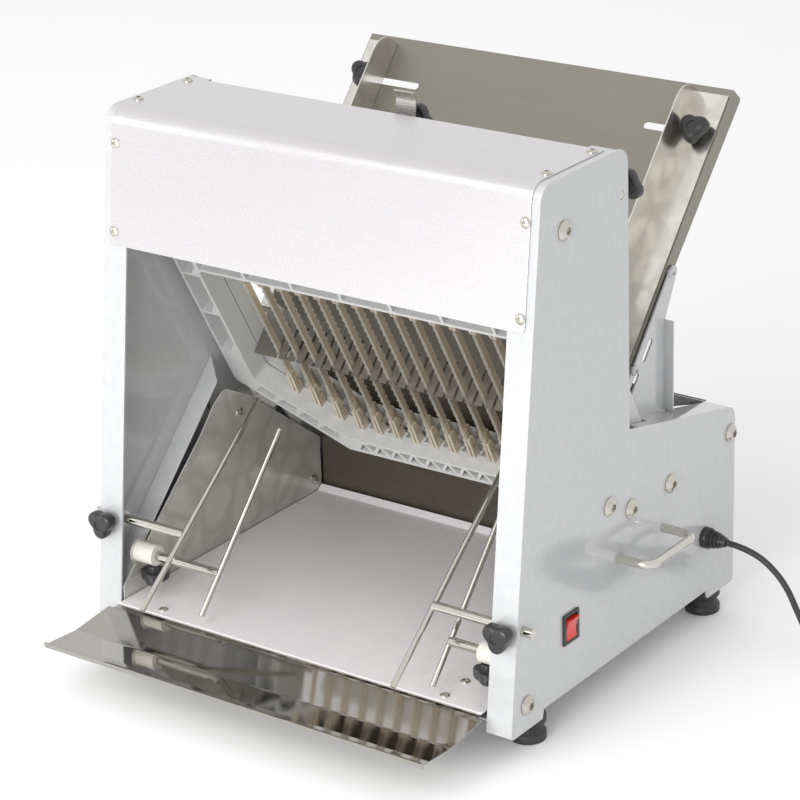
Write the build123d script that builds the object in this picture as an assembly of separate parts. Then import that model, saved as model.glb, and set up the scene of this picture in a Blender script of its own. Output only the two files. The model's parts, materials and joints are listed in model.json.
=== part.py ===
from build123d import *
import math
import os

# Commercial bread slicer, bench model: a gravity chute at the back feeds the loaf down onto two blade
# frames that saw against each other, and the slices drop onto a pull-out tray at the front.
# Millimetres. +X is the machine's right seen from the front, -Y is the front, +Z is up.
# The origin is on the bench, under the middle of the machine without its power cord.

# Side panels
panel_face = 259.0
panel_sheet = 2.0
flange_width = 29.0
front_at_floor = -188.5
front_lean = 0.1168
leg_bottom = 31.0
skirt_bottom = 41.0
column_top = 568.0
column_rear = 27.0
column_root_rear = 30.5
wing_front_z = 277.4
wing_rear_z = 230.5
machine_rear = 240.0
front_leg_rear = -130.0
rear_leg_front = 187.0
cover_bend = 18.0
rear_bend = 16.0
wing_flange_start = 50.0

# Top cover
cover_half_width = 250.0
cover_sheet = 1.5
cover_rear = -1.0
cover_bottom = 429.0
cover_corner = 6.0

# Feet and base
foot_radius = 18.5
foot_neck_radius = 11.0
foot_x = 235.0
foot_ys = (-120.0, 218.0)
base_sheet = 2.0
sheet_gap = 0.3

# Blade frames: the blades lean back from the vertical, and p is measured across them to the rear
blade_slope = 61.0
frame_mid_p = 170.25
frame_gap = 1.5
frame_depth = 25.5
frame_stroke = 9.0
arm_outer = 245.0
arm_width = 29.0
arm_top_v = -405.0
arm_bottom_v = -176.0
beam_half = 122.0
beam_bottom_v = -97.0
beam_height = 20.0
beam_corner_radius = 4.0
top_beam_v = (-375.0, -352.0)
casting_wall = 3.5
casting_floor = 5.0
arm_rib_pitch = 59.5
truss_pitch = 22.0

# Blades and their hooks
slice_pitch = 12.0
slice_slots = 31
blade_width = 11.0
blade_sheet = 0.8
wave_pitch = 9.0
wave_depth = 2.0
blade_seat_gap = 8.0
hook_height = 27.0
hook_cheek = 3.4
hook_slit = 1.4
hook_pin = 3.0

# Frame guides
guide_bar = 5.2
guide_bar_inner = 231.5
guide_bar_width = 15.0
guide_bar_top_v = -500.0
block_inner = 230.5
block_clear = 0.35
lower_block_y = (16.0, 124.0)
lower_block_z = (178.0, 203.0)
upper_block_p = (142.0, 202.0)
upper_block_v = (-513.0, -472.0)

# Crank drive
crank_y = 200.0
crank_z = 80.0
crank_throw = 9.0
shaft_radius = 10.0
crank_pin_radius = 6.0
crank_web_radius = 17.0
web_inner = (233.5, 237.0)
web_outer = (242.5, 245.5)
rod_rear_x = (237.25, 242.25)
rod_front_x = (245.9, 250.9)
rod_big_end = 11.0
rod_small_end = 8.0
front_wrist_v = -88.0
rear_wrist_v = -66.0
wrist_pin_radius = 4.5
pin_clear = 0.08
bearing_x = (200.0, 220.0)
main_pulley_radius = 30.0
motor_pulley_radius = 17.0
pulley_x = (110.0, 126.0)
belt_width = 9.0
belt_thickness = 5.0
motor_y = 184.0
motor_z = 176.0
motor_radius = 47.0
motor_x = (-104.0, 84.0)

# Infeed chute
chute_top_y = 284.5
chute_top_z = 553.5
chute_slope = 49.0
chute_half = 227.0
chute_neck_half = 211.0
chute_neck_s = 334.0
chute_length = 384.0
chute_sheet = 1.5
comb_start_s = 344.0
comb_slot = 3.0
chute_flange = (20.0, 11.0)
slot_s = (53.0, 300.0)
slot_x = (145.5, 213.0)
slot_width = 8.0

# Loaf guides on the chute
loaf_guide_inner = 188.0
loaf_guide_outer = 225.0
loaf_guide_height = 37.0
loaf_guide_s = (8.0, 332.0)
loaf_guide_knob_x = 207.0

# Hold-down flap
flap_y = 16.0
flap_z = 521.7
flap_shaft_radius = 6.0
flap_journal_radius = 4.3
flap_hole_radius = 4.5
flap_half = 150.0
flap_length = 96.0
strip_half = 12.0
strip_top = 585.0
centre_knob_at = (5.0, 40.0, 551.0)

# Outfeed fences: a cross rod slides in a boss and carries a sloping guide rod
fence_boss_bore = 5.15
cross_radius = 5.0
fence_radius = 3.0
upper_cross = (-162.0, 138.5)
upper_rod_top = (-28.0, 240.0)
upper_rod_end = (-230.0, 78.0)
upper_joint_x = 156.0
upper_cross_end = 271.0
upper_boss_x = (235.0, 257.0)
upper_boss_radius = 8.0
lower_cross = (-150.0, 98.0)
lower_rod_top = (-38.0, 218.0)
lower_rod_end = (-180.0, 61.5)
lower_joint_left = 122.0
lower_joint_right = 166.0
lower_cross_length = 90.0
lower_boss_x = (204.0, 228.4)
lower_boss_radius = 11.0

# Star knobs
knob_lobe = 6.0
knob_reach = 10.5
knob_height = 13.0
knob_stud = 3.0
knob_collar = (7.5, 6.0)

# Guards, floor plate and pull-out tray
guard_inner = 228.5
guard_sheet = 1.5
guard_foot = 14.0
floor_half = 227.5
floor_top = 54.0
floor_sheet = 1.5
floor_rear = 155.0
tray_half = 234.0
tray_joint_y = -189.0
tray_low = (-250.0, 45.0)
tray_lip_y = -297.0
tray_lip_z = 52.0
runner_width = 14.0

# Lifting handles
handle_radius = 4.75
handle_ys = (8.0, 94.0)
handle_z = 148.0
handle_reach = 302.0
handle_bend = 13.0

# Switch, gland and power cord
switch_y = -80.0
switch_z = 109.5
switch_half_y = 13.5
switch_half_z = 16.0
switch_depth = 22.0
rocker_half_z = 11.3
rocker_depth = 3.0
rocker_tip = 8.0
gland_y = 179.0
gland_z = 104.5
gland_length = 27.0
cord_diameter = 6.5
cord_sides = 8
coil_outer = 49.0
plug_lead = 30.0
coil_turns = 3.0
coil_pitch = 6.95
coil_centre = (442.0, 240.0)

# Fasteners: places in the Y-Z plane of each side panel
side_bolts_at = ((-85.9, 516.1), (-7.8, 209.4), (32.2, 192.3), (108.4, 191.3), (230.2, 203.5), (-157.6, 58.4))
bolt_head_radius = 10.0
bolt_head_height = 5.5
bolt_shank_radius = 5.0
bolt_hole_radius = 5.2
bolt_reach = 12.0
screw_head_radius = 5.5
screw_head_height = 2.6

tilt = math.radians(blade_slope)
along = Vector(0, math.cos(tilt), -math.sin(tilt))
across = Vector(0, math.sin(tilt), math.cos(tilt))
slope = math.radians(chute_slope)
chute_normal = Vector(0, -math.sin(slope), math.cos(slope))
chute_down = Vector(0, -math.cos(slope), -math.sin(slope))
chute_plane = Plane(origin=(0, chute_top_y, chute_top_z), x_dir=(1, 0, 0), z_dir=chute_normal)
panel_inner = panel_face - panel_sheet
flange_inner = panel_face - flange_width
frame_front_p = (frame_mid_p - frame_gap / 2 - frame_depth, frame_mid_p - frame_gap / 2)
frame_rear_p = frame_mid_p + frame_gap / 2 + frame_depth
sides = {"left": -1, "right": 1}


def front_y(z):
    """Where the panels' leaning front edge is at a height."""
    return front_at_floor + front_lean * z


def wing_z(y):
    """Height of the rear wing's sloping top edge."""
    return wing_front_z + (y - column_root_rear) * (wing_rear_z - wing_front_z) / (machine_rear - column_root_rear)


def blade_plane(p):
    """Sketch plane of the blades: its X is the machine's X and its Y runs down and to the rear."""
    return Plane(origin=across * p, x_dir=(1, 0, 0), z_dir=across)


def on_blade(x, p, v):
    """Point given across and along the blades."""
    return Vector(x, 0, 0) + across * p + along * v


def outline(points, radii=0):
    """Closed face through points, with each corner rounded by its own radius or by one for all."""
    if isinstance(radii, (int, float)):
        radii = [radii] * len(points)
    return make_face(FilletPolyline(*points, radius=list(radii), close=True))


def slab(face, x_from, x_to):
    """Push a Y-Z outline from one X to another."""
    low, high = sorted((x_from, x_to))
    return extrude(Plane.YZ.offset(low) * face, amount=high - low)


def block(x, y, z):
    """Box between three pairs of limits."""
    low = [min(pair) for pair in (x, y, z)]
    size = [abs(pair[1] - pair[0]) for pair in (x, y, z)]
    centre = [start + length / 2 for start, length in zip(low, size)]
    return Pos(*centre) * Box(*size)


def rod(start, end, radius):
    """Round bar from one point to another."""
    axis = Vector(end) - Vector(start)
    return extrude(Plane(origin=start, z_dir=axis) * Circle(radius), amount=axis.length)


def parallel(points, distance):
    """Open path moved to its left by a distance, with mitred corners."""
    moved = []
    steps = [(b[0] - a[0], b[1] - a[1]) for a, b in zip(points, points[1:])]
    normals = [(-dy / math.hypot(dx, dy), dx / math.hypot(dx, dy)) for dx, dy in steps]
    for index, (px, py) in enumerate(points):
        before = normals[max(index - 1, 0)]
        after = normals[min(index, len(normals) - 1)]
        scale = distance / (1 + before[0] * after[0] + before[1] * after[1])
        moved.append((px + scale * (before[0] + after[0]), py + scale * (before[1] + after[1])))
    return moved


def bent_strip(points, inside_radius, thickness):
    """Face of a bent sheet: one side on the points and the other a thickness to the left."""
    near_radii = []
    far_radii = []
    for a, b, c in zip(points, points[1:], points[2:]):
        turns_left = (b[0] - a[0]) * (c[1] - b[1]) - (b[1] - a[1]) * (c[0] - b[0]) > 0
        near_radii.append(inside_radius + thickness if turns_left else inside_radius)
        far_radii.append(inside_radius if turns_left else inside_radius + thickness)
    ring = list(points) + parallel(points, thickness)[::-1]
    return outline(ring, [0] + near_radii + [0, 0] + far_radii[::-1] + [0])


def button_head(radius, height):
    """Domed screw head standing on Z = 0, with a six-sided socket."""
    half = make_face(Polyline((0, 0), (radius, 0), (radius, height * 0.3)) + Line((0, height), (0, 0))
                     + ThreePointArc((radius, height * 0.3), (radius * 0.72, height * 0.78), (0, height)))
    dome = revolve(Plane.XZ * half, Axis.Z)
    socket = extrude(Plane.XY.offset(height * 0.45) * RegularPolygon(radius * 0.42, 6), amount=height)
    return dome - socket


def screw(point, direction, radius=screw_head_radius, height=screw_head_height):
    """Domed screw on a surface, with its head pointing along a direction."""
    return Plane(origin=point, z_dir=direction) * button_head(radius, height)


def star_knob(point, direction, stud_length):
    """Three-lobed clamping knob whose underside is at the point, with a stud behind it."""
    plane = Plane(origin=point, z_dir=direction)
    lobes = Circle(knob_reach)
    for turn in range(3):
        lobes += Rot(0, 0, 120 * turn) * Pos(knob_reach, 0) * Circle(knob_lobe)
    grip = extrude(lobes, amount=knob_height)
    grip += Cylinder(knob_collar[0], knob_collar[1], align=(Align.CENTER, Align.CENTER, Align.MAX))
    stud = Cylinder(knob_stud, stud_length, align=(Align.CENTER, Align.CENTER, Align.MAX))
    return plane * (grip + stud)


def mirrored(solid):
    """A solid and its twin on the other side of the machine."""
    return [solid, mirror(solid, Plane.YZ)]


def side_panel(side):
    """Painted sheet-steel side with its inward flanges and holes."""
    sign = sides[side]
    corners = [
        (front_y(leg_bottom), leg_bottom),
        (front_leg_rear, leg_bottom),
        (front_leg_rear + 3, skirt_bottom),
        (rear_leg_front - 3, skirt_bottom),
        (rear_leg_front, leg_bottom),
        (machine_rear, leg_bottom),
        (machine_rear, wing_rear_z),
        (column_root_rear, wing_front_z),
        (column_rear, column_top),
        (front_y(column_top), column_top),
    ]
    panel = slab(outline(corners, [3, 2, 2, 2, 2, 3, rear_bend, 2, cover_bend, cover_bend]), panel_inner, panel_face)
    front_path = [
        (9.0, column_top),
        (front_y(column_top), column_top),
        (front_y(leg_bottom + 2), leg_bottom + 2),
    ]
    front_flange = bent_strip(front_path, cover_bend - panel_sheet, panel_sheet)
    rear_path = [
        (machine_rear, leg_bottom + 2),
        (machine_rear, wing_rear_z),
        (wing_flange_start, wing_z(wing_flange_start)),
    ]
    rear_flange = bent_strip(rear_path, rear_bend - panel_sheet, panel_sheet)
    panel += slab(front_flange, flange_inner, panel_inner)
    panel += slab(rear_flange, flange_inner, panel_inner)
    relief_end = (frame_rear_p + 2 - wing_front_z * math.cos(tilt)) / math.sin(tilt) + 12
    panel -= block((flange_inner - 1, arm_outer + 1.5), (wing_flange_start - 1, relief_end),
                   (wing_z(relief_end) - 6, wing_front_z + 6))
    for y, z in side_bolts_at:
        panel -= rod((flange_inner, y, z), (panel_face + 1, y, z), bolt_hole_radius)
    panel -= rod((panel_inner - 1, flap_y, flap_z), (panel_face + 1, flap_y, flap_z), flap_hole_radius)
    panel -= rod((panel_inner - 1, *upper_cross), (panel_face + 1, *upper_cross), fence_boss_bore)
    knob_hole = (upper_knob_x(), front_y(upper_cross[1]) - 3, upper_cross[1])
    panel -= rod(knob_hole, (knob_hole[0], knob_hole[1] + 8, knob_hole[2]), knob_stud + sheet_gap)
    if side == "right":
        panel -= block((panel_inner - 1, panel_face + 1), (switch_y - 11.3, switch_y + 11.3),
                       (switch_z - 14.3, switch_z + 14.3))
        panel -= rod((panel_inner - 1, gland_y, gland_z), (panel_face + 1, gland_y, gland_z), 8.0)
    return panel if sign > 0 else mirror(panel, Plane.YZ)


def upper_knob_x():
    """The upper fence's clamping knob stands in the middle of its boss."""
    return sum(upper_boss_x) / 2


def top_cover():
    """Bent stainless cover over the blade frames, lying on the panels' flanges."""
    path = parallel([(cover_rear, column_top), (front_y(column_top), column_top), (front_y(cover_bottom), cover_bottom)],
                    -cover_sheet)
    cover = slab(bent_strip(path, cover_bend, cover_sheet), -cover_half_width, cover_half_width)
    low_corners = cover.edges().filter_by(lambda edge: edge.length < 3 and edge.center().Z < cover_bottom + 3)
    return fillet(low_corners.filter_by(lambda edge: abs(edge.center().X) > cover_half_width - 1), cover_corner)


def cover_screws():
    """Screws of the top cover, the guards, the tray and the lid, each on its own sheet."""
    face = Vector(0, -1, front_lean).normalized()
    screws = []
    for z in (533.0, 443.0):
        screws += mirrored(screw(Vector(245, front_y(z), z) + face * cover_sheet, face))
    for y in (-90.0, -12.0):
        screws += mirrored(screw((244, y, column_top + cover_sheet), (0, 0, 1)))
    for y, z in ((24.0, 193.6), (149.0, 70.0)):
        screws += [screw((-guard_inner, y, z), (1, 0, 0)), screw((guard_inner, y, z), (-1, 0, 0))]
    return screws


def lid_path():
    """Top of the drive housing's lid, from its rear edge to its folded front."""
    return [(236.0, 231.5), (134.0, 279.0), (134.0, 256.0)]


def housing_lid():
    """Dark lid over the drive housing, with folded sides."""
    sheet = 1.5
    half = 227.0
    lid = slab(bent_strip(lid_path(), 2.0, sheet), -half, half)
    side_shape = outline([(235.0, 230.0), (136.0, 276.0), (136.0, 257.0), (231.0, 229.5)])
    for sign in (-1, 1):
        lid += slab(side_shape, sign * half, sign * (half - sheet))
    return lid


def rear_cover():
    """Back sheet of the drive housing with two rows of cooling slots."""
    sheet = 1.5
    outer = machine_rear - panel_sheet - sheet_gap
    cover = block((-255, 255), (outer - sheet, outer), (skirt_bottom + base_sheet, wing_rear_z - rear_bend - 2))
    for row_z in (165.0, 190.0):
        for column in range(10):
            x = -81 + 18 * column
            slot = extrude(Plane.XZ.offset(-outer - 1) * Pos(x, row_z) * Rot(0, 0, 90) * SlotOverall(18, 5), amount=4)
            cover -= slot
    return cover


def base_plate():
    """Bottom plate that ties the two panels together."""
    plate = block((-panel_inner, panel_inner), (front_y(skirt_bottom) + panel_sheet + 4, machine_rear - panel_sheet - 4),
                  (skirt_bottom, skirt_bottom + base_sheet))
    return plate


def rubber_feet():
    """Four stepped rubber feet."""
    profile = make_face(Polyline((0, 0), (foot_radius, 0), (foot_radius, 9), (foot_radius - 3, 11),
                                 (foot_radius - 3, 17), (foot_radius, 19), (foot_radius, 27), (foot_radius - 4, 31),
                                 (foot_neck_radius, 31), (foot_neck_radius, skirt_bottom), (0, skirt_bottom), close=True))
    foot = revolve(Plane.XZ * profile, Axis.Z)
    return [Pos(sign * foot_x, y, 0) * foot for sign in (-1, 1) for y in foot_ys]


def side_bolts():
    """Button-head bolts through the side panels, six on each side."""
    bolts = []
    for y, z in side_bolts_at:
        head = screw((panel_face, y, z), (1, 0, 0), bolt_head_radius, bolt_head_height)
        bolt = head + rod((panel_face, y, z), (panel_inner - bolt_reach, y, z), bolt_shank_radius)
        bolts += mirrored(bolt)
    return bolts


def lifting_handles():
    """Bent round bars screwed to the side panels."""
    reach = handle_reach - handle_radius
    path = FilletPolyline((panel_face, handle_ys[0], handle_z), (reach, handle_ys[0], handle_z),
                          (reach, handle_ys[1], handle_z), (panel_face, handle_ys[1], handle_z), radius=handle_bend)
    bar = sweep(Plane(origin=path @ 0, z_dir=path % 0) * Circle(handle_radius), path)
    return mirrored(bar)


def guard_shape():
    """Outline of the sheet guards beside the slices."""
    low = skirt_bottom + base_sheet
    face = outline([(-178, low), (-178, 68), (-43, 188), (-16, 217), (2, 229), (44, 207), (164, 116), (164, low)],
                   [0, 4, 30, 12, 10, 20, 4, 0])
    return face + Pos(*lower_cross) * Circle(lower_boss_radius + 3)


def side_guards():
    """Sheet guards between the slices and the frame guides, with a foot on the base plate."""
    plate = slab(guard_shape(), guard_inner, guard_inner + guard_sheet)
    low = skirt_bottom + base_sheet
    plate += block((guard_inner, guard_inner + guard_foot), (-170, 160), (low, low + guard_sheet))
    plate -= rod((guard_inner - 1, *lower_cross), (guard_inner + 3, *lower_cross), fence_boss_bore)
    return mirrored(plate)


def guard_rail():
    """Folded strip that closes the corner between a side panel and the guard's front edge."""
    outer_low = Vector(panel_inner, -158, 78)
    outer_high = Vector(panel_inner, 17, 257)
    fold = Vector(236 - panel_inner, -17, -22)
    strip = make_face(Polyline(outer_low, outer_high, outer_high + fold, outer_low + fold, close=True))
    return extrude(strip, amount=1.5)


def inner_bulkhead():
    """Bent sheet that keeps crumbs out of the drive housing."""
    path = [(168, skirt_bottom + base_sheet), (168, 118), (132, 151), (132, 276)]
    return slab(bent_strip(path, 2.0, 1.5), -guard_inner + 0.5, guard_inner - 0.5)


def guide_bar_place(p_range):
    """Middle of a frame's guide bar across the blades."""
    return sum(p_range) / 2


def rear_range(p_range):
    """The same range mirrored to the rear blade frame."""
    return (2 * frame_mid_p - p_range[1], 2 * frame_mid_p - p_range[0])


def bar_slot(p_range):
    """Clearance slot for a guide bar, long enough for every block."""
    mid = guide_bar_place(p_range)
    half = guide_bar_width / 2 + block_clear
    x_from = guide_bar_inner - block_clear
    x_to = guide_bar_inner + guide_bar + block_clear
    shape = Pos((x_from + x_to) / 2, -290) * Rectangle(x_to - x_from, 500)
    return extrude(blade_plane(mid - half) * shape, amount=2 * half)


def guide_block(upper):
    """Nylon block that guides both frames' bars on one side."""
    if upper:
        v_mid = sum(upper_block_v) / 2
        shape = Pos((block_inner + panel_inner) / 2, v_mid) * Rectangle(panel_inner - block_inner,
                                                                        upper_block_v[1] - upper_block_v[0])
        body = extrude(blade_plane(upper_block_p[0]) * shape, amount=upper_block_p[1] - upper_block_p[0])
    else:
        body = block((block_inner, panel_inner), lower_block_y, lower_block_z)
    body -= bar_slot(frame_front_p)
    body -= bar_slot(rear_range(frame_front_p))
    for y, z in side_bolts_at:
        body -= rod((panel_inner - bolt_reach, y, z), (panel_inner + 1, y, z), bolt_hole_radius)
    return body


def inner_diagonal(distance):
    """Inner outline of a blade frame's lower corner, a distance inside the outer one."""
    rise = (beam_bottom_v - arm_bottom_v) / (arm_outer - beam_half)
    drop = distance * math.sqrt(1 + rise * rise)
    x_arm = arm_outer - arm_width if distance > casting_wall else arm_outer - distance
    v_arm = arm_bottom_v + (arm_outer - x_arm) * rise - drop
    v_beam = beam_bottom_v - (beam_height if distance > casting_wall else distance)
    x_beam = arm_outer - (v_beam + drop - arm_bottom_v) / rise
    return (x_arm, v_arm), (x_beam, v_beam)


def frame_casting():
    """One blade frame as cast: arms, slanting corners and beams, with pockets on its outer face."""
    corner_arm, corner_beam = inner_diagonal(beam_height)
    half = [(arm_outer, arm_top_v), (arm_outer, arm_bottom_v), (beam_half, beam_bottom_v)]
    outer = half + [(-x, v) for x, v in half[::-1]]
    hollow = [(arm_outer - arm_width, top_beam_v[1]), corner_arm, corner_beam]
    window = hollow + [(-x, v) for x, v in hollow[::-1]]
    window_radii = [6, 10, beam_corner_radius, beam_corner_radius, 10, 6]
    shape = outline(outer, [4, 6, 4, 4, 6, 4]) - outline(window, window_radii)
    top = (arm_outer - arm_width, arm_top_v)
    shape -= outline([top, (top[0], top_beam_v[0]), (-top[0], top_beam_v[0]), (-top[0], top[1]), (-top[0], top[1] - 9),
                      (top[0], top[1] - 9)])
    plane = blade_plane(frame_front_p[0])
    casting = extrude(plane * shape, amount=frame_depth)
    pockets = arm_pockets() + beam_pockets() + diagonal_pockets() + top_pockets()
    depth = frame_depth - casting_floor
    for pocket in pockets:
        casting -= extrude(plane * pocket, amount=depth)
    return casting


def arm_pockets():
    """Rectangular pockets between the arms' cross ribs, each with a gusset left in one corner."""
    low_x = arm_outer - arm_width + casting_wall
    high_x = arm_outer - casting_wall
    pockets = []
    start = arm_top_v + casting_wall
    while start + arm_rib_pitch - casting_wall < arm_bottom_v:
        end = start + arm_rib_pitch - casting_wall
        points = [(low_x, start), (high_x, start), (high_x, end), (low_x + 9, end), (low_x, end - 13)]
        for sign in (-1, 1):
            pockets.append(outline([(sign * x, v) for x, v in points]))
        start += arm_rib_pitch
    return pockets


def beam_pockets():
    """Triangular pockets of the lower beam, pointing up and down in turn."""
    high = beam_bottom_v - beam_height + casting_wall
    low = beam_bottom_v - casting_wall
    count = int(2 * (beam_half - 14) / (truss_pitch / 2))
    pockets = []
    for index in range(count):
        x = (index - (count - 1) / 2) * truss_pitch / 2
        base = truss_pitch / 2 - casting_wall
        points = [(x - base, low), (x + base, low), (x, high + 1)]
        if index % 2:
            points = [(x - base, high), (x + base, high), (x, low - 1)]
        pockets.append(outline(points))
    return pockets


def diagonal_pockets():
    """Slanted pockets along the lower corners."""
    (ax, av), (bx, bv) = inner_diagonal(casting_wall)
    width = beam_height - 2 * casting_wall
    length = math.hypot(bx - ax, bv - av)
    ex, ev = (bx - ax) / length, (bv - av) / length
    nx, nv = (ev, -ex) if -ex < 0 else (-ev, ex)
    bays = 4
    start = 24.0
    bay = (length - start - 12.0) / bays
    pockets = []
    for index in range(bays):
        near = start + bay * index
        far = near + bay - casting_wall
        square = [(near, 0.0), (far, 0.0), (far, width), (near + 6, width)]
        points = [(ax + ex * d + nx * w, av + ev * d + nv * w) for d, w in square]
        for sign in (-1, 1):
            pockets.append(outline([(sign * x, v) for x, v in points]))
    return pockets


def top_pockets():
    """Rectangular pockets of the top beam."""
    low, high = top_beam_v[0] + casting_wall, top_beam_v[1] - casting_wall
    inner = arm_outer - arm_width
    bays = 7
    bay = 2 * inner / bays
    return [Pos(-inner + bay * (index + 0.5), (low + high) / 2) * Rectangle(bay - casting_wall, high - low)
            for index in range(bays)]


def blade_frame(notch_xs, wrist_v):
    """Front blade frame: casting and guide bars, with notches for the other frame's hooks."""
    frame = frame_casting()
    mid = guide_bar_place(frame_front_p)
    bar_mid_x = guide_bar_inner + guide_bar / 2
    for sign in (-1, 1):
        top = Pos(sign * bar_mid_x, (guide_bar_top_v + arm_top_v) / 2 + 2)
        low = Pos(sign * bar_mid_x, (wrist_v + arm_bottom_v) / 2 - 4)
        up_bar = top * Rectangle(guide_bar, arm_top_v - guide_bar_top_v + 4)
        low_bar = low * Rectangle(guide_bar, wrist_v - arm_bottom_v + 8)
        plane = blade_plane(mid - guide_bar_width / 2)
        frame += extrude(plane * up_bar, amount=guide_bar_width)
        frame += extrude(plane * low_bar, amount=guide_bar_width)
        eye_from = on_blade(sign * guide_bar_inner, mid, wrist_v)
        eye_to = on_blade(sign * (guide_bar_inner + guide_bar), mid, wrist_v)
        frame += rod(eye_from, eye_to, guide_bar_width / 2)
    notch = hook_cheek * 2 + hook_slit + 1
    for x in notch_xs:
        cut = Pos(x, beam_bottom_v - beam_height) * Rectangle(notch, 9)
        if abs(x) < beam_half - 10:
            frame -= extrude(blade_plane(frame_front_p[1] - 6) * cut, amount=7)
    return frame


def with_wrist_pins(frame, reach, p):
    """Add the pins that the front connecting rods would turn on."""
    for sign in (-1, 1):
        start = on_blade(sign * (guide_bar_inner + guide_bar - 1), p, front_wrist_v)
        end = on_blade(sign * reach, p, front_wrist_v)
        frame += rod(start, end, wrist_pin_radius)
    return frame


def to_rear(solid):
    """Turn a front blade part into its opposite number on the rear frame."""
    return mirror(solid, Plane(origin=across * frame_mid_p, x_dir=(1, 0, 0), z_dir=across))


def front_blade_xs():
    """Places of the front frame's blades."""
    half = (slice_slots - 1) / 2
    return [slice_pitch * (index - half) for index in range(0, slice_slots, 2)]


def rear_blade_xs():
    """Places of the rear frame's blades, between the front ones."""
    half = (slice_slots - 1) / 2
    return [slice_pitch * (index - half) for index in range(1, slice_slots, 2)]


def seats(x):
    """Where a blade's hooks stand: on the top beam and on the lower beam or its slanting corner."""
    low = beam_bottom_v - beam_height - max(abs(x) - beam_corner_x(), 0) * diagonal_rise()
    return top_beam_v[1], low


def blade_ends(x):
    """Upper and lower end of a blade, a gap away from the beams."""
    high, low = seats(x)
    return high + blade_seat_gap, low - blade_seat_gap


def blade_profile(x):
    """Blade outline across and along the frame: a waved front edge and a straight back."""
    back = frame_front_p[1]
    edge = back - blade_width
    start, end = blade_ends(x)
    waves = int((end - start - 2 * (hook_height - blade_seat_gap)) / wave_pitch)
    first = (start + end - waves * wave_pitch) / 2
    points = [(back, start), (edge + wave_depth, start)]
    for wave in range(waves):
        points.append((edge + wave_depth, first + wave * wave_pitch))
        points.append((edge, first + (wave + 0.5) * wave_pitch))
    points += [(edge + wave_depth, first + waves * wave_pitch), (edge + wave_depth, end), (back, end)]
    return points


def blade_edge_plane(x):
    """Plane of one blade: its X runs across the blade and its Y along it, upwards."""
    return Plane(origin=(x, 0, 0), x_dir=across, z_dir=(1, 0, 0))


def pin_p():
    """Middle of the blades' end pins across the front frame."""
    return frame_front_p[1] - blade_width / 2 + 1


def pin_vs(x):
    """Middle of the pins near a blade's upper and lower ends."""
    start, end = blade_ends(x)
    return start + 6, end - 6


def blades_at(places):
    """Thin waved blades, each with a pin riveted across both ends."""
    blades = []
    for x in places:
        face = make_face(Polyline(*[(p, -v) for p, v in blade_profile(x)], close=True))
        blade = extrude(blade_edge_plane(x - blade_sheet / 2) * face, amount=blade_sheet)
        for v in pin_vs(x):
            pin = Pos(pin_p(), -v) * Rectangle(hook_pin, hook_pin)
            length = 2 * hook_cheek + hook_slit
            blade += extrude(blade_edge_plane(x - length / 2) * pin, amount=length)
        blades.append(blade)
    return blades


def hook_face(root, v_pin, v_seat):
    """Side view of one hook cheek: it grips the pin from the side that the blade pulls to."""
    back = frame_front_p[1]
    front = back - blade_width
    outward = math.copysign(1, v_seat - v_pin)
    tip = v_seat - outward * hook_height
    near = v_pin + outward * (hook_pin / 2 + sheet_gap)
    far = v_pin - outward * (hook_pin / 2 + 0.2)
    floor = pin_p() - hook_pin / 2 - sheet_gap
    points = [(front, root), (back, root), (back, near), (floor, near), (floor, far), (back, far), (back - 2, tip),
              (front + 2, tip)]
    return make_face(Polyline(*[(p, -v) for p, v in points], close=True))


def hooks_at(places):
    """Pairs of hook cheeks on the beams, one pair at each end of a blade."""
    hooks = []
    for x in places:
        slanted = abs(x) + hook_cheek + hook_slit > beam_corner_x()
        for end, (v_seat, v_pin) in enumerate(zip(seats(x), pin_vs(x))):
            root = v_seat + 4 if end and slanted else v_seat
            face = hook_face(root, v_pin, v_seat)
            for start in (x - hook_slit / 2 - hook_cheek, x + hook_slit / 2):
                hook = extrude(blade_edge_plane(start) * face, amount=hook_cheek)
                hooks.append(hook - lower_corner(x) if end and slanted else hook)
    return hooks


def lower_corner(x):
    """Solid below the inner outline of a blade frame's slanting corner, to trim what stands on it."""
    arm, beam = inner_diagonal(beam_height)
    points = [arm, beam, (0, beam[1]), (0, beam[1] + 30), (arm[0], arm[1] + 90)]
    sign = math.copysign(1, x)
    face = outline([(sign * a, b) for a, b in points], [0, beam_corner_radius, 0, 0, 0])
    return extrude(blade_plane(frame_front_p[0]) * face, amount=frame_depth + 5)


def diagonal_rise():
    """How fast the frame's lower corner climbs towards the arm."""
    return (beam_bottom_v - arm_bottom_v) / (arm_outer - beam_half)


def beam_corner_x():
    """Where the beam's straight upper edge ends."""
    return inner_diagonal(beam_height)[1][0]


def crank_point(side_of_throw):
    """Centre of a crank pin at rest: the two pins stand on opposite sides of the shaft."""
    return Vector(0, crank_y, crank_z) + across * crank_throw * side_of_throw


def at_x(point, x):
    """The same point at another X."""
    return Vector(x, point.Y, point.Z)


def crankshaft():
    """Main shaft with a pair of crank pins at each end."""
    centre = Vector(0, crank_y, crank_z)
    shaft = rod(at_x(centre, -web_inner[0]), at_x(centre, web_inner[0]), shaft_radius)
    rear_pin = crank_point(1)
    front_pin = crank_point(-1)
    for sign in (-1, 1):
        shaft += rod(at_x(centre, sign * web_inner[0]), at_x(centre, sign * web_inner[1]), crank_web_radius)
        shaft += rod(at_x(rear_pin, sign * web_inner[1]), at_x(rear_pin, sign * web_outer[0]), crank_pin_radius)
        shaft += rod(at_x(centre, sign * web_outer[0]), at_x(centre, sign * web_outer[1]), crank_web_radius)
        shaft += rod(at_x(front_pin, sign * web_outer[1]), at_x(front_pin, sign * (rod_front_x[1] + 0.4)),
                     crank_pin_radius)
    return shaft


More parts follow.
